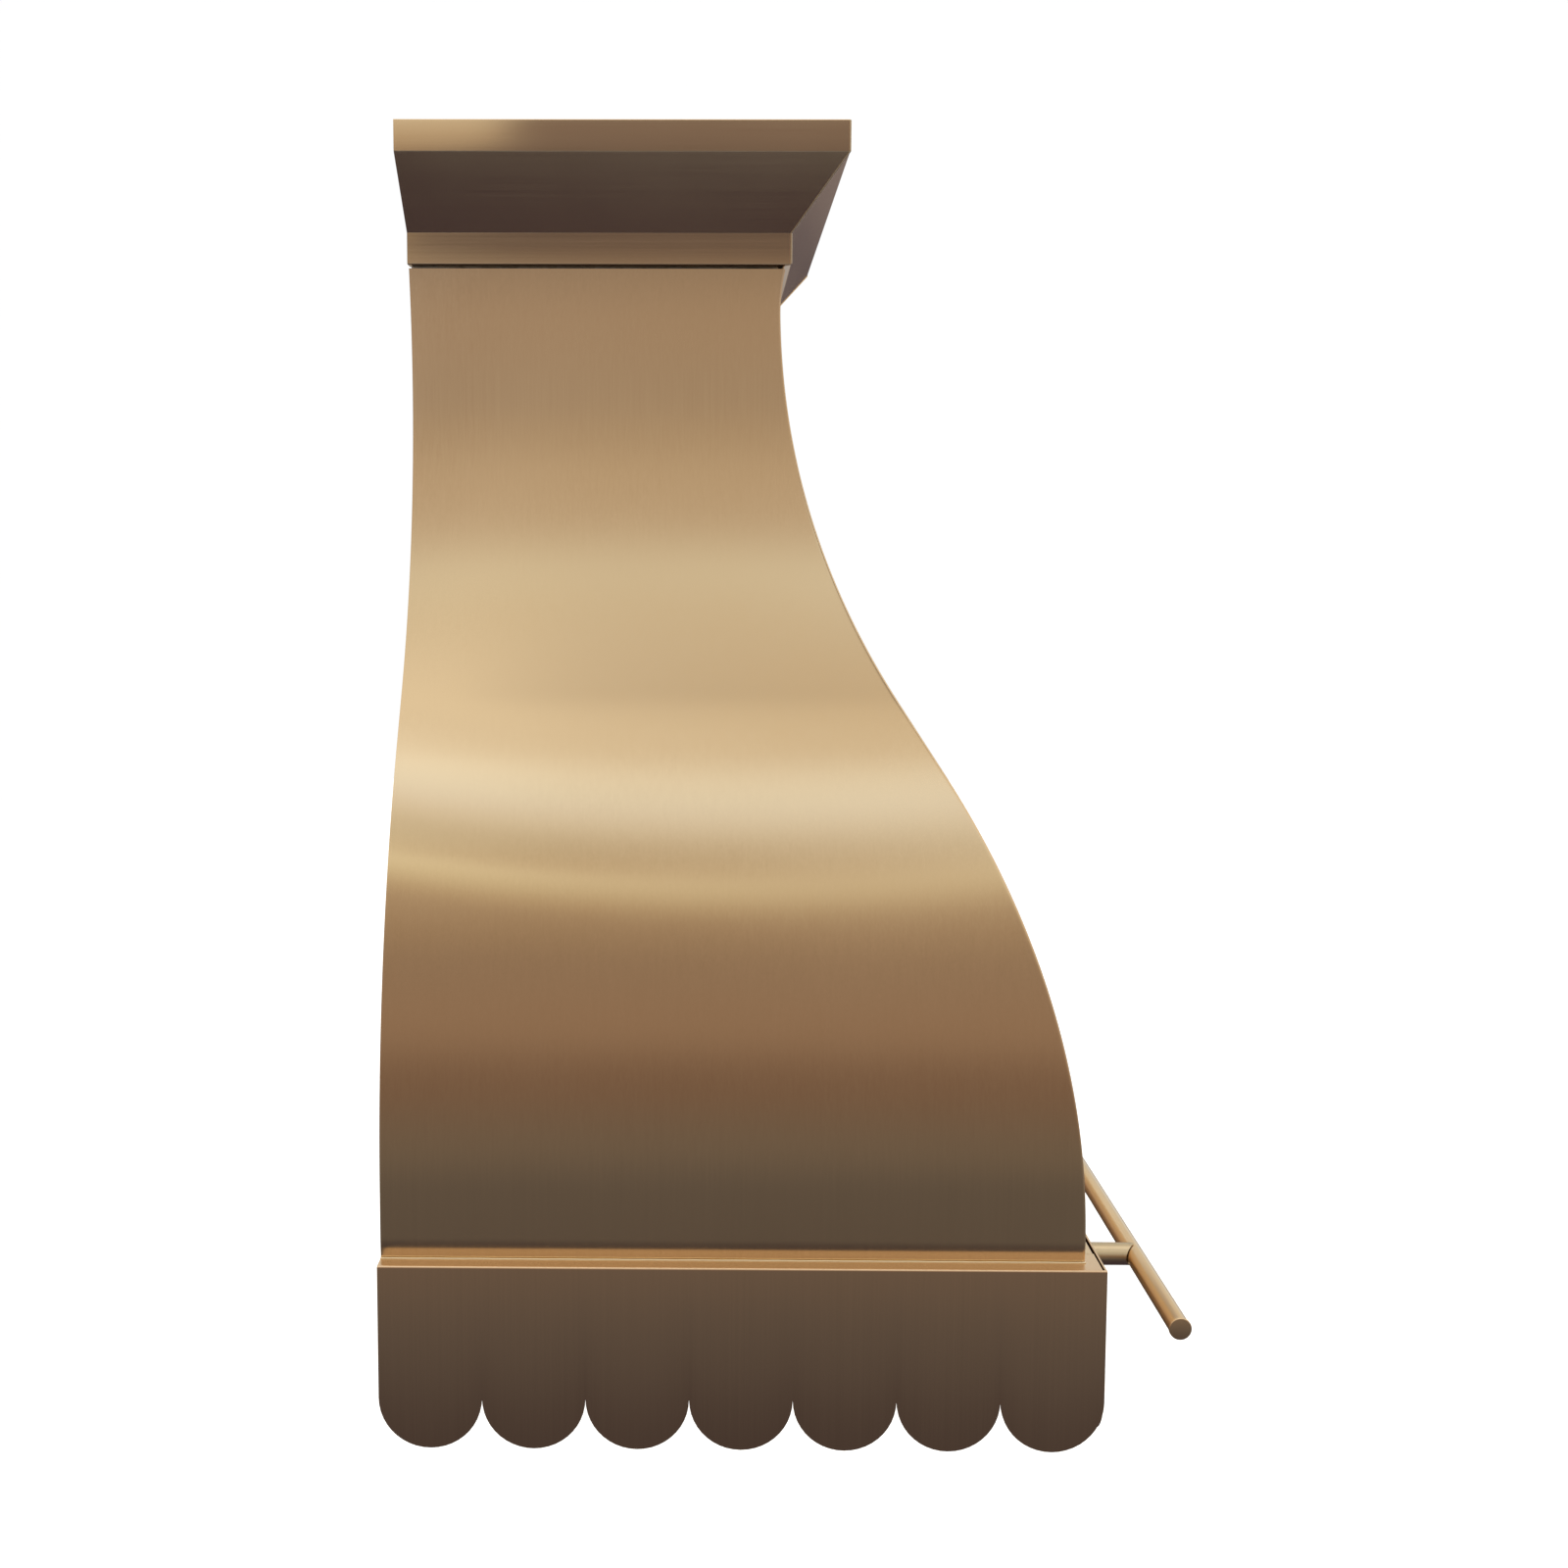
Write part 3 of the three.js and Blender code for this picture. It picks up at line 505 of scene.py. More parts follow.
def plated_steel():
    """Zinc-plated steel with a faint yellow passivation, duller where it was handled."""
    material, tree, shader, at = new_material("plated_steel")
    cloud = noise(tree, at, (14, 14, 14), 4.0)
    speck = noise(tree, at, (420, 420, 420), 3.0)
    tone = mixed(tree, [(cloud, 1.2), (speck, 0.5)], -0.35)
    colour = colour_mix(tree, tone, (0.47, 0.45, 0.40), (0.70, 0.69, 0.66))
    link(tree, colour, shader.inputs["Base Color"])
    link(tree, mixed(tree, [(cloud, 0.3), (speck, 0.12)], 0.14), shader.inputs["Roughness"])
    link(tree, bump(tree, speck, 0.15, 0.0003), shader.inputs["Normal"])
    shader.inputs["Metallic"].default_value = 1.0
    return material


def moulded_plastic(name, dark, light, rough):
    """Spark-eroded moulded plastic: a fine leathery grain, shinier where fingers have rubbed."""
    material, tree, shader, at = new_material(name)
    grain = noise(tree, at, (1600, 1600, 1600), 2.0, 0.6)
    cloud = noise(tree, at, (30, 30, 30), 3.0)
    tone = mixed(tree, [(grain, 0.6), (cloud, 0.9)], -0.25)
    link(tree, colour_mix(tree, tone, dark, light), shader.inputs["Base Color"])
    link(tree, mixed(tree, [(grain, 0.14), (cloud, 0.22)], rough - 0.18), shader.inputs["Roughness"])
    link(tree, bump(tree, grain, 0.25, 0.00015), shader.inputs["Normal"])
    shader.inputs["Specular IOR Level"].default_value = 0.45
    return material


def frosted_lens():
    """Acid-etched lamp glass, white from behind."""
    material, tree, shader, at = new_material("frosted_lens")
    etch = noise(tree, at, (1400, 1400, 1400), 3.0, 0.6)
    cloud = noise(tree, at, (25, 25, 25), 2.0)
    tone = mixed(tree, [(etch, 0.6), (cloud, 0.8)], -0.2)
    colour = colour_mix(tree, tone, (0.80, 0.82, 0.82), (0.93, 0.93, 0.91))
    link(tree, colour, shader.inputs["Base Color"])
    link(tree, mixed(tree, [(etch, 0.2), (cloud, 0.15)], 0.2), shader.inputs["Roughness"])
    link(tree, bump(tree, etch, 0.2, 0.0001), shader.inputs["Normal"])
    shader.inputs["Transmission Weight"].default_value = 0.35
    shader.inputs["IOR"].default_value = 1.49
    return material


def enamelled_motor():
    """Black stove enamel with orange peel."""
    material, tree, shader, at = new_material("motor_enamel")
    peel = noise(tree, at, (260, 260, 260), 2.0)
    dust = noise(tree, at, (22, 22, 22), 4.0)
    tone = mixed(tree, [(dust, 1.4), (peel, 0.4)], -0.5)
    colour = colour_mix(tree, tone, (0.018, 0.018, 0.020), (0.060, 0.057, 0.053))
    link(tree, colour, shader.inputs["Base Color"])
    link(tree, mixed(tree, [(dust, 0.35), (peel, 0.1)], 0.12), shader.inputs["Roughness"])
    link(tree, bump(tree, peel, 0.2, 0.0003), shader.inputs["Normal"])
    return material


# ---------------------------------------------------------------- mesh making
SHARP = radians(35)  # an edge that turns more than this is a crease


def piece(name, bm, material, nodes, body="hood", bevel=0.0):
    """A shown piece from bm, which stands for CAD nodes and rides on a body."""
    bmesh.ops.recalc_face_normals(bm, faces=bm.faces)
    for face in bm.faces:
        face.smooth = True
    for edge in bm.edges:
        if edge.is_manifold and edge.calc_face_angle(0) > SHARP:
            edge.smooth = False
    mesh = bpy.data.meshes.new(name)
    bm.to_mesh(mesh)
    bm.free()
    mesh.materials.append(material)
    obj = bpy.data.objects.new(name, mesh)
    bpy.context.scene.collection.objects.link(obj)
    if bevel:
        soften(obj, bevel)
    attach(obj, body)
    if nodes:
        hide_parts(*nodes)
    return obj


def soften(obj, width):
    """Rounds the creases of obj, which keeps its mesh."""
    modifier = obj.modifiers.new("edges", "BEVEL")
    modifier.width = width
    modifier.segments = 2
    modifier.limit_method = "ANGLE"
    modifier.angle_limit = SHARP
    modifier.harden_normals = True


def loft(rings, closed=False):
    """Solid through rings with equal numbers of points, capped at both ends unless closed."""
    bm = bmesh.new()
    rows = [[bm.verts.new(point) for point in ring] for ring in rings]
    pairs = list(zip(rows, rows[1:]))
    if closed:
        pairs.append((rows[-1], rows[0]))
    else:
        bm.faces.new(rows[0])
        bm.faces.new(rows[-1])
    for low, high in pairs:
        for k in range(len(low)):
            after = (k + 1) % len(low)
            bm.faces.new([low[k], low[after], high[after], high[k]])
    return bm


def folded(points, outer=2.2 * MM, inner=0.6 * MM):
    """Closed outline of a folded sheet in a plane. Its face follows points, and the sheet lies to
    the right of the travel; a fold has the outer radius where the face is on its outside."""
    points, steps = [Vector(p) for p in points], 5
    face, back = [], []

    def put(place, heading):
        face.append(place)
        back.append(place + SHEET * Vector((heading.y, -heading.x)))

    put(points[0], (points[1] - points[0]).normalized())
    for before, at, after in zip(points, points[1:], points[2:]):
        into, out = (at - before).normalized(), (after - at).normalized()
        turn = into.x * out.y - into.y * out.x
        angle = acos(max(-1, min(1, into.dot(out))))
        radius, way = (outer, -1) if turn < 0 else (inner, 1)
        start = at - into * radius * tan(angle / 2)
        centre = start + way * radius * Vector((-into.y, into.x))
        for k in range(steps + 1):
            a = way * angle * k / steps
            heading = Vector((into.x * cos(a) - into.y * sin(a), into.x * sin(a) + into.y * cos(a)))
            put(centre + way * radius * Vector((heading.y, -heading.x)), heading)
    put(points[-1], (points[-1] - points[-2]).normalized())
    return face + back[::-1]


POINT = 0.05 * MM  # radius of the tiny ring that closes a turned solid on its axis


def circle(radius, sides):
    return [(radius * cos(2 * pi * k / sides), radius * sin(2 * pi * k / sides)) for k in range(sides)]


def turned_x(profile, y, z, sides=64):
    """Solid turned about a line along X through (y, z); profile is (x, radius) pairs."""
    return loft([[(x, y + a, z + b) for a, b in circle(r, sides)] for x, r in profile])


def turned_y(profile, x, z, sides=48):
    """Solid turned about a line along Y through (x, z); profile is (y, radius) pairs."""
    return loft([[(x + a, y, z + b) for a, b in circle(r, sides)] for y, r in profile])


def turned_z(profile, x, y, sides=64, closed=False):
    """Solid turned about the vertical through (x, y); profile is (z, radius) pairs. A closed
    profile runs round the section of a ring."""
    rings = [[(x + a, y + b, z) for a, b in circle(r, sides)] for z, r in profile]
    return loft(rings, closed=closed)


def rounded_rod(start, end, radius, edge, steps=3):
    """(place, radius) pairs of a rod with rounded rims."""
    turns = [pi / 2 * k / steps for k in range(steps + 1)]
    head = [(start + edge * (1 - cos(t)), radius - edge * (1 - sin(t))) for t in turns]
    tail = [(end - (place - start), r) for place, r in reversed(head)]
    return head + tail


def middle(node):
    low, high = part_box(node)
    return (low + high) / 2


def mirror_name(side):
    return "left" if side < 0 else "right"


# ---------------------------------------------------------------- body curves
def ogee(neck_drop, neck, belly_drop, belly, cove, bulge):
    """Offset at a drop below the crown top: a cove from the neck, a tangent straight, and a bulge
    to the belly, vertical below it."""
    rise, run, radii = belly_drop - neck_drop, belly - neck, cove + bulge
    reach = hypot(rise, radii - run)
    slope = asin(min(1, radii / reach)) - atan2(radii - run, rise)
    cove_end = neck_drop + cove * sin(slope)
    bulge_start = belly_drop - bulge * sin(slope)

    def offset(drop):
        if drop >= belly_drop:
            return belly
        if drop <= cove_end:
            return neck + cove - sqrt(cove**2 - (drop - neck_drop) ** 2)
        if drop >= bulge_start:
            return belly - bulge + sqrt(bulge**2 - (belly_drop - drop) ** 2)
        return neck + cove * (1 - cos(slope)) + (drop - cove_end) * tan(slope)

    return offset


FRONT_BELLY = -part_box("body_front")[0].y
SIDE_BELLY = -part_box("body_side_left")[0].x
BODY_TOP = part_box("body_front")[1].z
BODY_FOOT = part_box("body_front")[0].z
front_curve = ogee(0.149, 0.3688, 1.0355, FRONT_BELLY, cove=0.7626, bulge=0.7895)
side_at = ogee(0.24875, 0.1949, 0.9871, SIDE_BELLY, cove=0.7106, bulge=0.9515)
LIP_OUT, LIP_HEIGHT = 4.1 * MM, 45 * MM
TUCK_IN, TUCK_HEIGHT = 0.9 * MM, 18 * MM


def front_at(drop):
    """Front curve with a lip that curls out under the crown, inside the CAD's straighter one."""
    share = max(0, 1 - (drop - TOP + BODY_TOP) / LIP_HEIGHT)
    return front_curve(drop) + LIP_OUT * share**2


def foot_tuck(z):
    """How far the body is drawn in just above the ledge."""
    share = min(1, (z - BODY_FOOT) / TUCK_HEIGHT)
    return TUCK_IN * (1 - share * share * (3 - 2 * share))


def levels():
    """Heights of the body's rings, closer together at its lip and its foot."""
    lip, foot = BODY_TOP - 48 * MM, BODY_FOOT + 30 * MM
    end_rings, rings = 16, 140
    heights = [BODY_TOP + (lip - BODY_TOP) * i / end_rings for i in range(end_rings)]
    heights += [lip + (foot - lip) * i / rings for i in range(rings)]
    return heights + [foot + (BODY_FOOT - foot) * i / end_rings for i in range(end_rings + 1)]


# ---------------------------------------------------------------- body
def body_side(side, material):
    """Side sheet that wraps the front corner, where the front sheet butts against it."""
    name = "body_side_" + mirror_name(side)
    radius, across, turn = 2.2 * MM, 16, 6

    def section(z):
        s, f = side_at(TOP - z) - foot_tuck(z), front_at(TOP - z)
        flat = f - radius
        outline = [(s, -(flat - radius) * i / across) for i in range(across + 1)] + [(s, -flat)]
        for k in range(1, turn + 1):
            a = pi / 2 * k / turn
            outline.append((s - radius + radius * cos(a), -flat - radius * sin(a)))
        outline += [(s - SHEET, -f), (s - SHEET, 0)]
        return [(side * x, y, z) for x, y in outline]

    bm = loft([section(z) for z in levels()])
    return piece(name, bm, material, [name], bevel=0.35 * MM)


BEAD_RADIUS = 0.8 * MM


def foot_bead(side, material):
    """Brazed bead that closes the corner between the body side and the ledge."""
    length, ripple, runs = front_at(TOP - BODY_FOOT), 0.08 * MM, 60
    x = side * (side_at(TOP - BODY_FOOT) - foot_tuck(BODY_FOOT) + BEAD_RADIUS + 0.5 * MM)
    rings = []
    for k in range(runs + 1):
        y, z = -length * k / runs, BODY_FOOT
        rings.append([(x + a, y, z + b + ripple * sin(1.7 * k)) for a, b in circle(BEAD_RADIUS, 16)])
    return piece("foot_bead_" + mirror_name(side), loft(rings), material, [])


def body_front(material):
    """Front sheet between the side sheets."""
    columns = 16

    def section(z):
        s, f = side_at(TOP - z) - foot_tuck(z) - SHEET - GAP, front_at(TOP - z)
        outline = [(-s + 2 * s * i / columns, -f) for i in range(columns + 1)]
        outline += [(s, -f + SHEET), (-s, -f + SHEET)]
        return [(x, y, z) for x, y in outline]

    bm = loft([section(z) for z in levels()])
    return piece("body_front", bm, material, ["body_front"], bevel=0.35 * MM)


def rear_stiffener(side, material):
    """Curved angle along the rear edge of the body side."""
    name, leg = "rear_stiffener_" + mirror_name(side), 25 * MM

    def section(z):
        s = side_at(TOP - z) - foot_tuck(z) - SHEET - GAP
        outline = folded([(s - leg, 0), (s, 0), (s, -leg)])
        return [(side * x, y, z) for x, y in outline]

    bm = loft([section(z) for z in levels()])
    return piece(name, bm, material, [name], bevel=0.3 * MM)


# ---------------------------------------------------------------- crown
CROWN_HALF = -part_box("crown_side_left")[0].x
CROWN_DEPTH = -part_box("crown_front")[0].y
CROWN_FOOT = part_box("crown_front")[0].z
FASCIA, COVE, PROJECTION = 29.5 * MM, 62.7 * MM, 51.5 * MM
BAND_HALF, BAND_DEPTH = CROWN_HALF - PROJECTION, CROWN_DEPTH - PROJECTION
CROWN_RUNS = 8


def crown_section():
    """(outward from the band face, z) round the folded section."""
    return folded(
        [
            (PROJECTION - 25 * MM, TOP),
            (PROJECTION, TOP),
            (PROJECTION, TOP - FASCIA),
            (0, TOP - FASCIA - COVE),
            (0, CROWN_FOOT),
            (-12 * MM, CROWN_FOOT),
        ],
        outer=1.1 * MM,
        inner=0.4 * MM,
    )


def crown_side(side, material):
    """Folded section from the wall to the mitre."""
    name = "crown_side_" + mirror_name(side)
    section, rings = crown_section(), []
    for i in range(CROWN_RUNS + 1):
        share = i / CROWN_RUNS
        rings.append([(side * (BAND_HALF + out), -(BAND_DEPTH + out) * share, z) for out, z in section])
    return piece(name, loft(rings), material, [name], bevel=0.7 * MM)


def mitre_bead(side, material):
    """Brazed bead down the mitre between the crown's front and a side."""
    outline, rings = crown_section(), []
    for out, z in outline[: len(outline) // 2]:
        if CROWN_FOOT + BEAD_RADIUS < z < TOP - BEAD_RADIUS:
            x, y = side * (BAND_HALF + out), -(BAND_DEPTH + out)
            rings.append([(x + a, y + b, z) for a, b in circle(BEAD_RADIUS, 10)])
    return piece("mitre_bead_" + mirror_name(side), loft(rings), material, [])


def crown_front(material):
    """Folded section from mitre to mitre."""
    half = BAND_HALF - GAP
    section, rings = crown_section(), []
    for i in range(CROWN_RUNS + 1):
        share = 2 * i / CROWN_RUNS - 1
        rings.append([((half + out) * share, -(BAND_DEPTH + out), z) for out, z in section])
    return piece("crown_front", loft(rings), material, ["crown_front"], bevel=0.4 * MM)


# ---------------------------------------------------------------- apron
APRON_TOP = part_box("apron_side_left")[1].z
APRON_HALF = -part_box("apron_side_left")[0].x
LEDGE_FRONT = -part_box("ledge_front")[0].y
PLATE_FRONT = -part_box("apron_front")[0].y
PLATE_BACK = -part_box("apron_front")[1].y
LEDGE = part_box("apron_side_left")[1].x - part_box("apron_side_left")[0].x
SIDE_SCALLOPS, FRONT_SCALLOPS = 7, 8


def scallops(start, end, count, stop=None):
    """(position, z of the lower edge) along a scalloped edge of semicircles, up to stop."""
    pitch, steps = (end - start) / count, 22
    radius = pitch / 2
    points = []
    for i in range(count):
        centre = start + pitch * (i + 0.5)
        for k in range(0 if i == 0 else 1, steps + 1):
            a = pi * k / steps
            points.append((centre - radius * cos(a), BOTTOM + radius - radius * sin(a)))
    if stop is not None:
        kept = [p for p in points if p[0] < stop]
        centre = end - radius
        kept.append((stop, BOTTOM + radius - sqrt(radius**2 - (stop - centre) ** 2)))
        points = kept
    return points


def apron_side(side, material):
    """Sheet with a ledge folded in along its top, which stops short of the front plate."""
    name = "apron_side_" + mirror_name(side)
    fold = 1.7 * MM

    def section(depth, low, width):
        corners = [(APRON_HALF - width, APRON_TOP), (APRON_HALF, APRON_TOP), (APRON_HALF, low)]
        return [(side * x, -depth, z) for x, z in folded(corners, outer=fold)]

    edge = scallops(0, PLATE_FRONT, SIDE_SCALLOPS)
    behind = scallops(0, PLATE_FRONT, SIDE_SCALLOPS, stop=LEDGE_FRONT)
    stub = fold + 0.05 * MM
    rings = [section(depth, low, LEDGE) for depth, low in behind]
    rings.append(section(*behind[-1], stub))
    rings += [section(depth, low, stub) for depth, low in edge if depth > LEDGE_FRONT]
    return piece(name, loft(rings), material, [name], bevel=0.3 * MM)


def apron_front(material):
    """Flat scalloped plate between the side sheets."""

    def section(x, low):
        front, back = -PLATE_FRONT, -PLATE_BACK
        return [(x, front, APRON_TOP), (x, front, low), (x, back, low), (x, back, APRON_TOP)]

    left, right = (corner.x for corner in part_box("apron_front"))
    bm = loft([section(x, low) for x, low in scallops(left, right, FRONT_SCALLOPS)])
    return piece("apron_front", bm, material, ["apron_front"], bevel=0.45 * MM)


def ledge_front(material):
    """Angle that carries the ledge across the front."""
    low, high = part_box("ledge_front")
    outline = folded([(-high.y, high.z), (-low.y, high.z), (-low.y, low.z)], outer=1.7 * MM)
    rings = [[(x, -out, z) for out, z in outline] for x in (low.x, 0, high.x)]
    return piece("ledge_front", loft(rings), material, ["ledge_front"], bevel=0.3 * MM)


# ---------------------------------------------------------------- rail
RAIL_LOW, RAIL_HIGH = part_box("rail_bar")
RAIL_Y = (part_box("rail_cap_left")[0].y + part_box("rail_cap_left")[1].y) / 2
RAIL_Z = (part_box("rail_cap_left")[0].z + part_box("rail_cap_left")[1].z) / 2
RAIL_RADIUS = 9.5 * MM


def rail_bar(material):
    """Tube across the front, between its caps."""
    profile = rounded_rod(RAIL_LOW.x, RAIL_HIGH.x, RAIL_RADIUS, 0.4 * MM)
    bm = turned_x(profile, RAIL_Y, RAIL_Z)
    return piece("rail_bar", bm, material, ["rail_bar"])


def rail_cap(side, material):
    """Disc on the end of the bar, its outer rim rounded."""
    name = "rail_cap_" + mirror_name(side)
    low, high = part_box(name)
    inner, outer = (high.x, low.x) if side < 0 else (low.x, high.x)
    rim, radius = 0.9 * MM, (high.z - low.z) / 2
    way = 1 if outer > inner else -1
    profile = [(inner, radius)]
    for k in range(5):
        t = pi / 2 * k / 4
        profile.append((outer - way * rim * (1 - sin(t)), radius - rim * (1 - cos(t))))
    bm = turned_x(profile, RAIL_Y, RAIL_Z)
    return piece(name, bm, material, [name])


def rail_post(side, material):
    """Round post from the apron to the rail, its front end coped to sit on the bar."""
    name = "rail_post_" + mirror_name(side)
    low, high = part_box(name)
    x0, radius, foot = (low.x + high.x) / 2, (high.x - low.x) / 2, high.y
    saddle = RAIL_RADIUS + 3 * GAP
    sides = 64

    def ring(r, place):
        return [(x0 + a, place(b), RAIL_Z + b) for a, b in circle(r, sides)]

    def cope(b):
        return RAIL_Y + sqrt(max(saddle**2 - b * b, 0))

    bore, deep = 3.3 * MM, 20 * MM
    rings = [ring(POINT, lambda b: foot - deep), ring(bore, lambda b: foot - deep)]
    rings += [ring(bore, lambda b: foot), ring(radius - 0.6 * MM, lambda b: foot)]
    rings += [ring(radius, lambda b: foot - 0.6 * MM)]
    rings += [ring(r, cope) for r in (radius, radius * 0.75, radius * 0.5, radius * 0.25, POINT)]
    return piece(name, loft(rings), material, [name], bevel=0.3 * MM)


# ---------------------------------------------------------------- insert and blower
def dress(material, width, *names):
    """A material and softened edges for CAD nodes whose shapes are right."""
    for name in names:
        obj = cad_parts[name]
        for place in obj.material_slots:
            place.material = material
        soften(obj, width)


def rail_screw(side, material):
    """Pan-head screw that holds a rail post from inside the apron."""
    name = "rail_screw_" + mirror_name(side)
    low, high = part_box(name)
    head, shank, crown = 6 * MM, 2.9 * MM, high.y
    profile = [(crown - 1.6 * MM, POINT), (crown - 1.6 * MM, 1.5 * MM), (crown, 1.9 * MM)]
    profile += [(crown - 0.3 * MM, 3.6 * MM), (crown - 1.1 * MM, 5.2 * MM), (crown - 2.2 * MM, head)]
    profile += [(crown - 4 * MM, head), (crown - 4 * MM, shank)]
    pitch = 1.25 * MM
    start, end = crown - 6 * MM, low.y + 1.5 * MM
    for k in range(int((start - end) / pitch)):
        top = start - k * pitch
        profile += [(top, shank), (top - pitch * 0.5, shank - 0.55 * MM)]
    profile += [(end, shank), (low.y, shank - 1.2 * MM)]
    bm = turned_y(profile, middle(name).x, middle(name).z)
    return piece(name, bm, material, [name])


def duct_collar(material):
    """Spun collar: a flange, a stop bead for the duct and a rolled upper edge."""
    low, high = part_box("duct_collar")
    at = middle("duct_collar")
    flange, radius, wall = (high.x - low.x) / 2, 100 * MM, 1.5 * MM
    profile = [(low.z, radius - wall), (low.z, flange - 0.5 * MM), (low.z + 0.5 * MM, flange)]
    profile += [(low.z + wall, flange - 0.3 * MM), (low.z + wall, radius + 1.5 * MM)]
    profile += [(low.z + wall + 0.5 * MM, radius + 0.4 * MM), (low.z + 3.2 * MM, radius)]
    bead, beads = high.z - 12 * MM, 8
    for k in range(beads + 1):
        t = pi * k / beads
        profile.append((bead - 2 * MM * cos(t), radius + 1.8 * MM * sin(t)))
    profile += [(high.z - 0.6 * MM, radius), (high.z, radius - 0.5 * MM)]
    profile += [(high.z, radius - wall + 0.3 * MM), (high.z - 0.5 * MM, radius - wall)]
    bm = turned_z(profile, at.x, at.y, sides=120, closed=True)
    return piece("duct_collar", bm, material, ["duct_collar"])


def damper_pin(material):
    """Rod that the two flaps hang on."""
    low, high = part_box("damper_pin")
    at = middle("damper_pin")
    profile = rounded_rod(low.x, high.x, (high.z - low.z) / 2, 0.6 * MM)
    return piece("damper_pin", turned_x(profile, at.y, at.z), material, ["damper_pin"])


def motor(material):
    """Can with a rolled seam at each end and three cooling ribs round it."""
    low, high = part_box("motor")
    at = middle("motor")
    radius, nose, bore = (high.z - low.z) / 2, 14 * MM, 5.8 * MM
    profile = [(low.x + 15 * MM, POINT), (low.x + 15 * MM, bore), (low.x, bore)]
    profile += [(low.x, nose - 0.6 * MM), (low.x + 0.6 * MM, nose), (low.x + 2.4 * MM, nose)]
    face = low.x + 2.4 * MM
    profile += [(face, radius - 6 * MM), (face + 1.2 * MM, radius - 2.2 * MM)]
    for place in (face + 3 * MM, face + 20 * MM, face + 29 * MM, face + 38 * MM, high.x - 4 * MM):
        profile += [(place, radius - 1.6 * MM), (place + 0.7 * MM, radius - 0.3 * MM)]
        profile += [(place + 1.4 * MM, radius), (place + 2.1 * MM, radius - 0.3 * MM)]
        profile += [(place + 2.8 * MM, radius - 1.6 * MM)]
    profile += [(high.x, radius - 3 * MM)]
    return piece("motor", turned_x(profile, at.y, at.z), material, ["motor"])


def motor_shaft(material):
    """Rod that turns with the impeller."""
    low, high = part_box("motor_shaft")
    at = middle("motor_shaft")
    profile = rounded_rod(low.x, high.x, (high.z - low.z) / 2, 0.7 * MM)
    bm = turned_x(profile, at.y, at.z)
    return piece("motor_shaft", bm, material, ["motor_shaft"], body="wheel")


def filter_handle(side, material):
    """Bail handle: a round bar bent down, across and up again."""
    name = "filter_handle_" + mirror_name(side)
    low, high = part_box(name)
    radius, bend, steps, sides = 3.8 * MM, 7 * MM, 8, 24
    left, right, foot = low.x + radius, high.x - radius, low.z + radius
    path = [(left, high.z, 0, -1), (left, high.z - 2 * MM, 0, -1)]
    for k in range(steps + 1):
        t = pi / 2 * k / steps
        path.append((left + bend * (1 - cos(t)), foot + bend * (1 - sin(t)), sin(t), -cos(t)))
    for k in range(steps + 1):
        t = pi / 2 * k / steps
        path.append((right - bend * (1 - sin(t)), foot + bend * (1 - cos(t)), cos(t), sin(t)))
    path += [(right, high.z - 2 * MM, 0, 1), (right, high.z, 0, 1)]
    y = middle(name).y
    rings = [
        [(x - dz * a, y + b, z + dx * a) for a, b in circle(radius, sides)] for x, z, dx, dz in path
    ]
    body = "filter_" + mirror_name(side)
    return piece(name, loft(rings), material, [name], body=body, bevel=0.3 * MM)


def lamp_housing(side, material):
    """Spun can with a trim ring whose face is rolled over."""
    name = "lamp_housing_" + mirror_name(side)
    low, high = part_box(name)
    at = middle(name)
    flange, radius, wall = (high.x - low.x) / 2, 30 * MM, 2 * MM
    inner, top = radius - wall, low.z + 2 * MM
    profile = [(high.z - wall, POINT), (high.z - wall, inner), (top, inner)]
    profile += [(low.z + 0.9 * MM, inner), (low.z + 0.2 * MM, inner + 0.8 * MM)]
    profile += [(low.z, inner + 1.8 * MM), (low.z, flange - 1.6 * MM)]
    profile += [(low.z + 0.5 * MM, flange - 0.5 * MM), (low.z + 1.4 * MM, flange), (top, flange)]
    profile += [(top, radius), (high.z - 0.8 * MM, radius), (high.z, radius - 0.8 * MM), (high.z, POINT)]
    return piece(name, turned_z(profile, at.x, at.y), material, [name])


def lamp_lens(side, material):
    """Glass disc, slightly domed and ground round its rim."""
    name = "lamp_lens_" + mirror_name(side)
    low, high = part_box(name)
    at = middle(name)
    radius, dome, steps = (high.x - low.x) / 2, 0.8 * MM, 8
    profile = []
    for k in range(steps + 1):
        r = max(POINT, (radius - 0.5 * MM) * k / steps)
        profile.append((low.z + dome * (r / radius) ** 2, r))
    profile += [(low.z + dome + 0.5 * MM, radius), (high.z - 0.4 * MM, radius)]
    profile += [(high.z, radius - 0.4 * MM), (high.z, POINT)]
    return piece(name, turned_z(profile, at.x, at.y), material, [name])


def button(key, material):
    """Push button with a finger dish and a rounded rim, on its retaining collar."""
    name = "button_" + key
    low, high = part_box(name)
    at = middle(name)
    collar, radius, rim = (high.x - low.x) / 2, 6.5 * MM, 0.8 * MM
    profile = [(low.z + 0.6 * MM, POINT), (low.z + 0.5 * MM, 1.5 * MM), (low.z + 0.3 * MM, 3.2 * MM)]
    profile += [(low.z + 0.05 * MM, 4.8 * MM), (low.z, radius - rim)]
    for k in range(1, 5):
        t = pi / 2 * k / 4
        profile.append((low.z + rim * (1 - cos(t)), radius - rim * (1 - sin(t))))
    shoulder = low.z + 7.6 * MM
    profile += [(shoulder, radius), (shoulder, collar), (shoulder + 2 * MM, collar)]
    profile += [(shoulder + 2 * MM, radius), (high.z, radius), (high.z, POINT)]
    bm = turned_z(profile, at.x, at.y, sides=48)
    return piece(name, bm, material, [name], body="key_" + key)


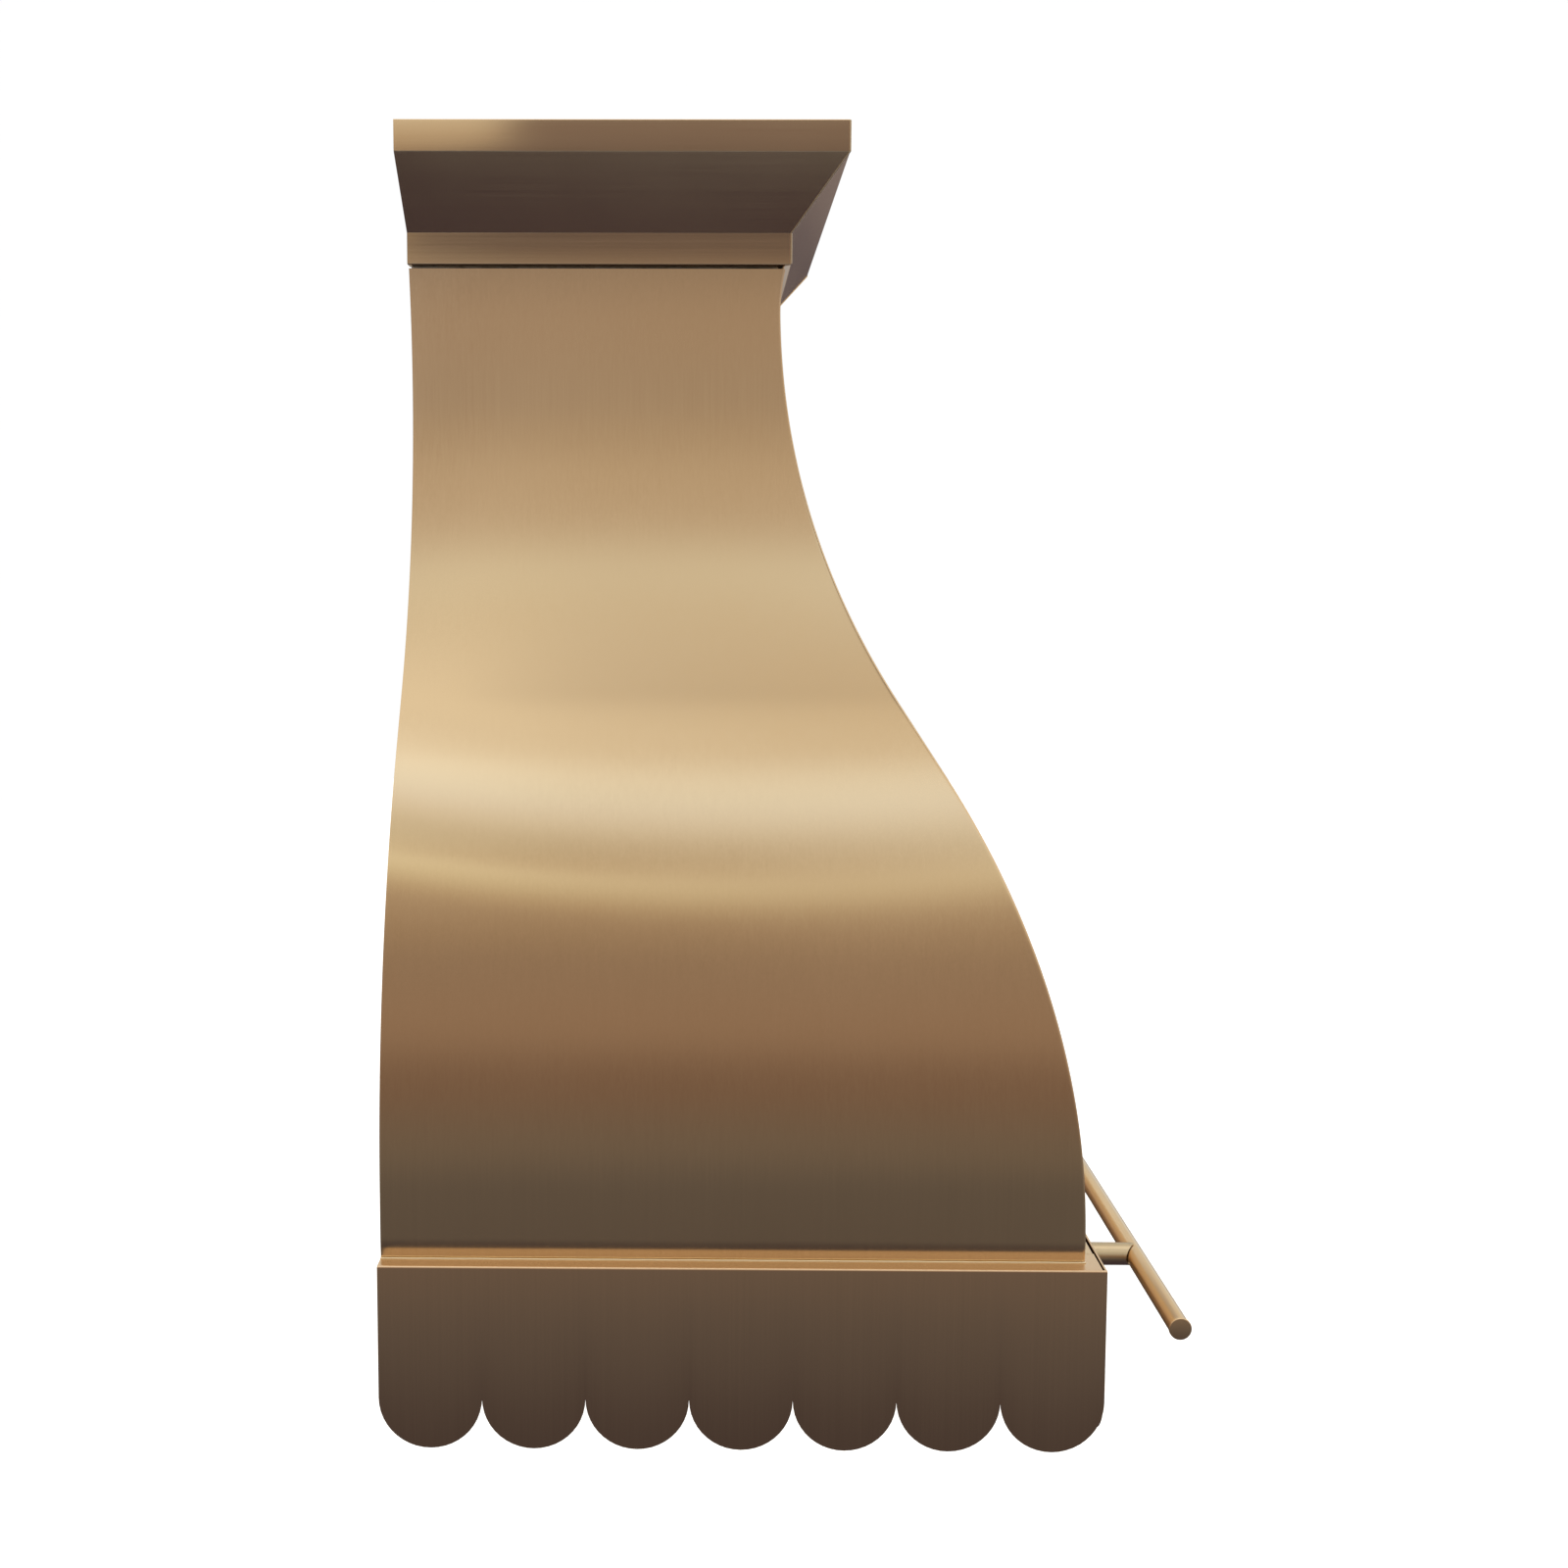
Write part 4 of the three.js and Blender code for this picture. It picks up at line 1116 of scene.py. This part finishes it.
def insert():
    """Liner, filters, tray, lamps and buttons."""
    sheet_x, sheet_y, steel = stainless("x"), stainless("y"), plated_steel()
    black = moulded_plastic("black_plastic", (0.014, 0.014, 0.015), (0.035, 0.035, 0.036), 0.42)
    grey = moulded_plastic("button_plastic", (0.44, 0.44, 0.43), (0.60, 0.60, 0.58), 0.36)
    lens = frosted_lens()
    dress(sheet_x, 0.4 * MM, "liner_pan", "insert_base", "grease_tray")
    dress(sheet_y, 0.3 * MM, "baffle_filter_left", "baffle_filter_right")
    dress(black, 0.5 * MM, "control_bezel", "cable_gland")
    for side in (-1, 1):
        filter_handle(side, black)
        lamp_housing(side, sheet_x)
        lamp_lens(side, lens)
        rail_screw(side, steel)
    for key in ("power", "speed_low", "speed_high", "lamp"):
        button(key, grey)


def blower():
    """Blower and its housing, the collar, and the galvanised and plated bars."""
    zinc, steel, enamel = galvanised(), plated_steel(), enamelled_motor()
    dress(zinc, 0.3 * MM, "housing_front", "housing_back", "housing_side_left", "housing_side_right")
    dress(zinc, 0.3 * MM, "housing_top", "blower_scroll", "blower_side_left", "blower_side_right")
    dress(zinc, 0.15 * MM, "impeller", "damper_flap_front", "damper_flap_rear")
    dress(zinc, 0.3 * MM, "junction_box", "junction_cover", "rear_cross_bar")
    dress(zinc, 0.4 * MM, "neck_bar_front", "neck_bar_left", "neck_bar_right")
    dress(steel, 0.4 * MM, "motor_bracket", "hanger_bar", "wall_bracket")
    duct_collar(zinc)
    damper_pin(steel)
    motor(enamel)
    motor_shaft(steel)
    for side in (-1, 1):
        rear_stiffener(side, zinc)


# ---------------------------------------------------------------- making
def shell():
    """The brass: body, crown, apron, ledge and rail."""
    body, crown, front = brass_body(), brass_crown(), brass_crown_front()
    # bead: brass painted paler than the sheet, a painted highlight on the foot and mitre beads
    apron, rail, post, bead = brass_apron(), brass_rail(), brass_post(), brass_bead_painted_highlight()
    for side in (-1, 1):
        body_side(side, body)
        foot_bead(side, bead)
        crown_side(side, crown)
        mitre_bead(side, bead)
        apron_side(side, apron)
        rail_cap(side, rail)
        rail_post(side, post)
    body_front(body)
    crown_front(front)
    apron_front(apron)
    ledge_front(crown)
    rail_bar(rail)


camera()
studio()
floor_and_backdrop()
light_cards()
shell()
insert()
blower()
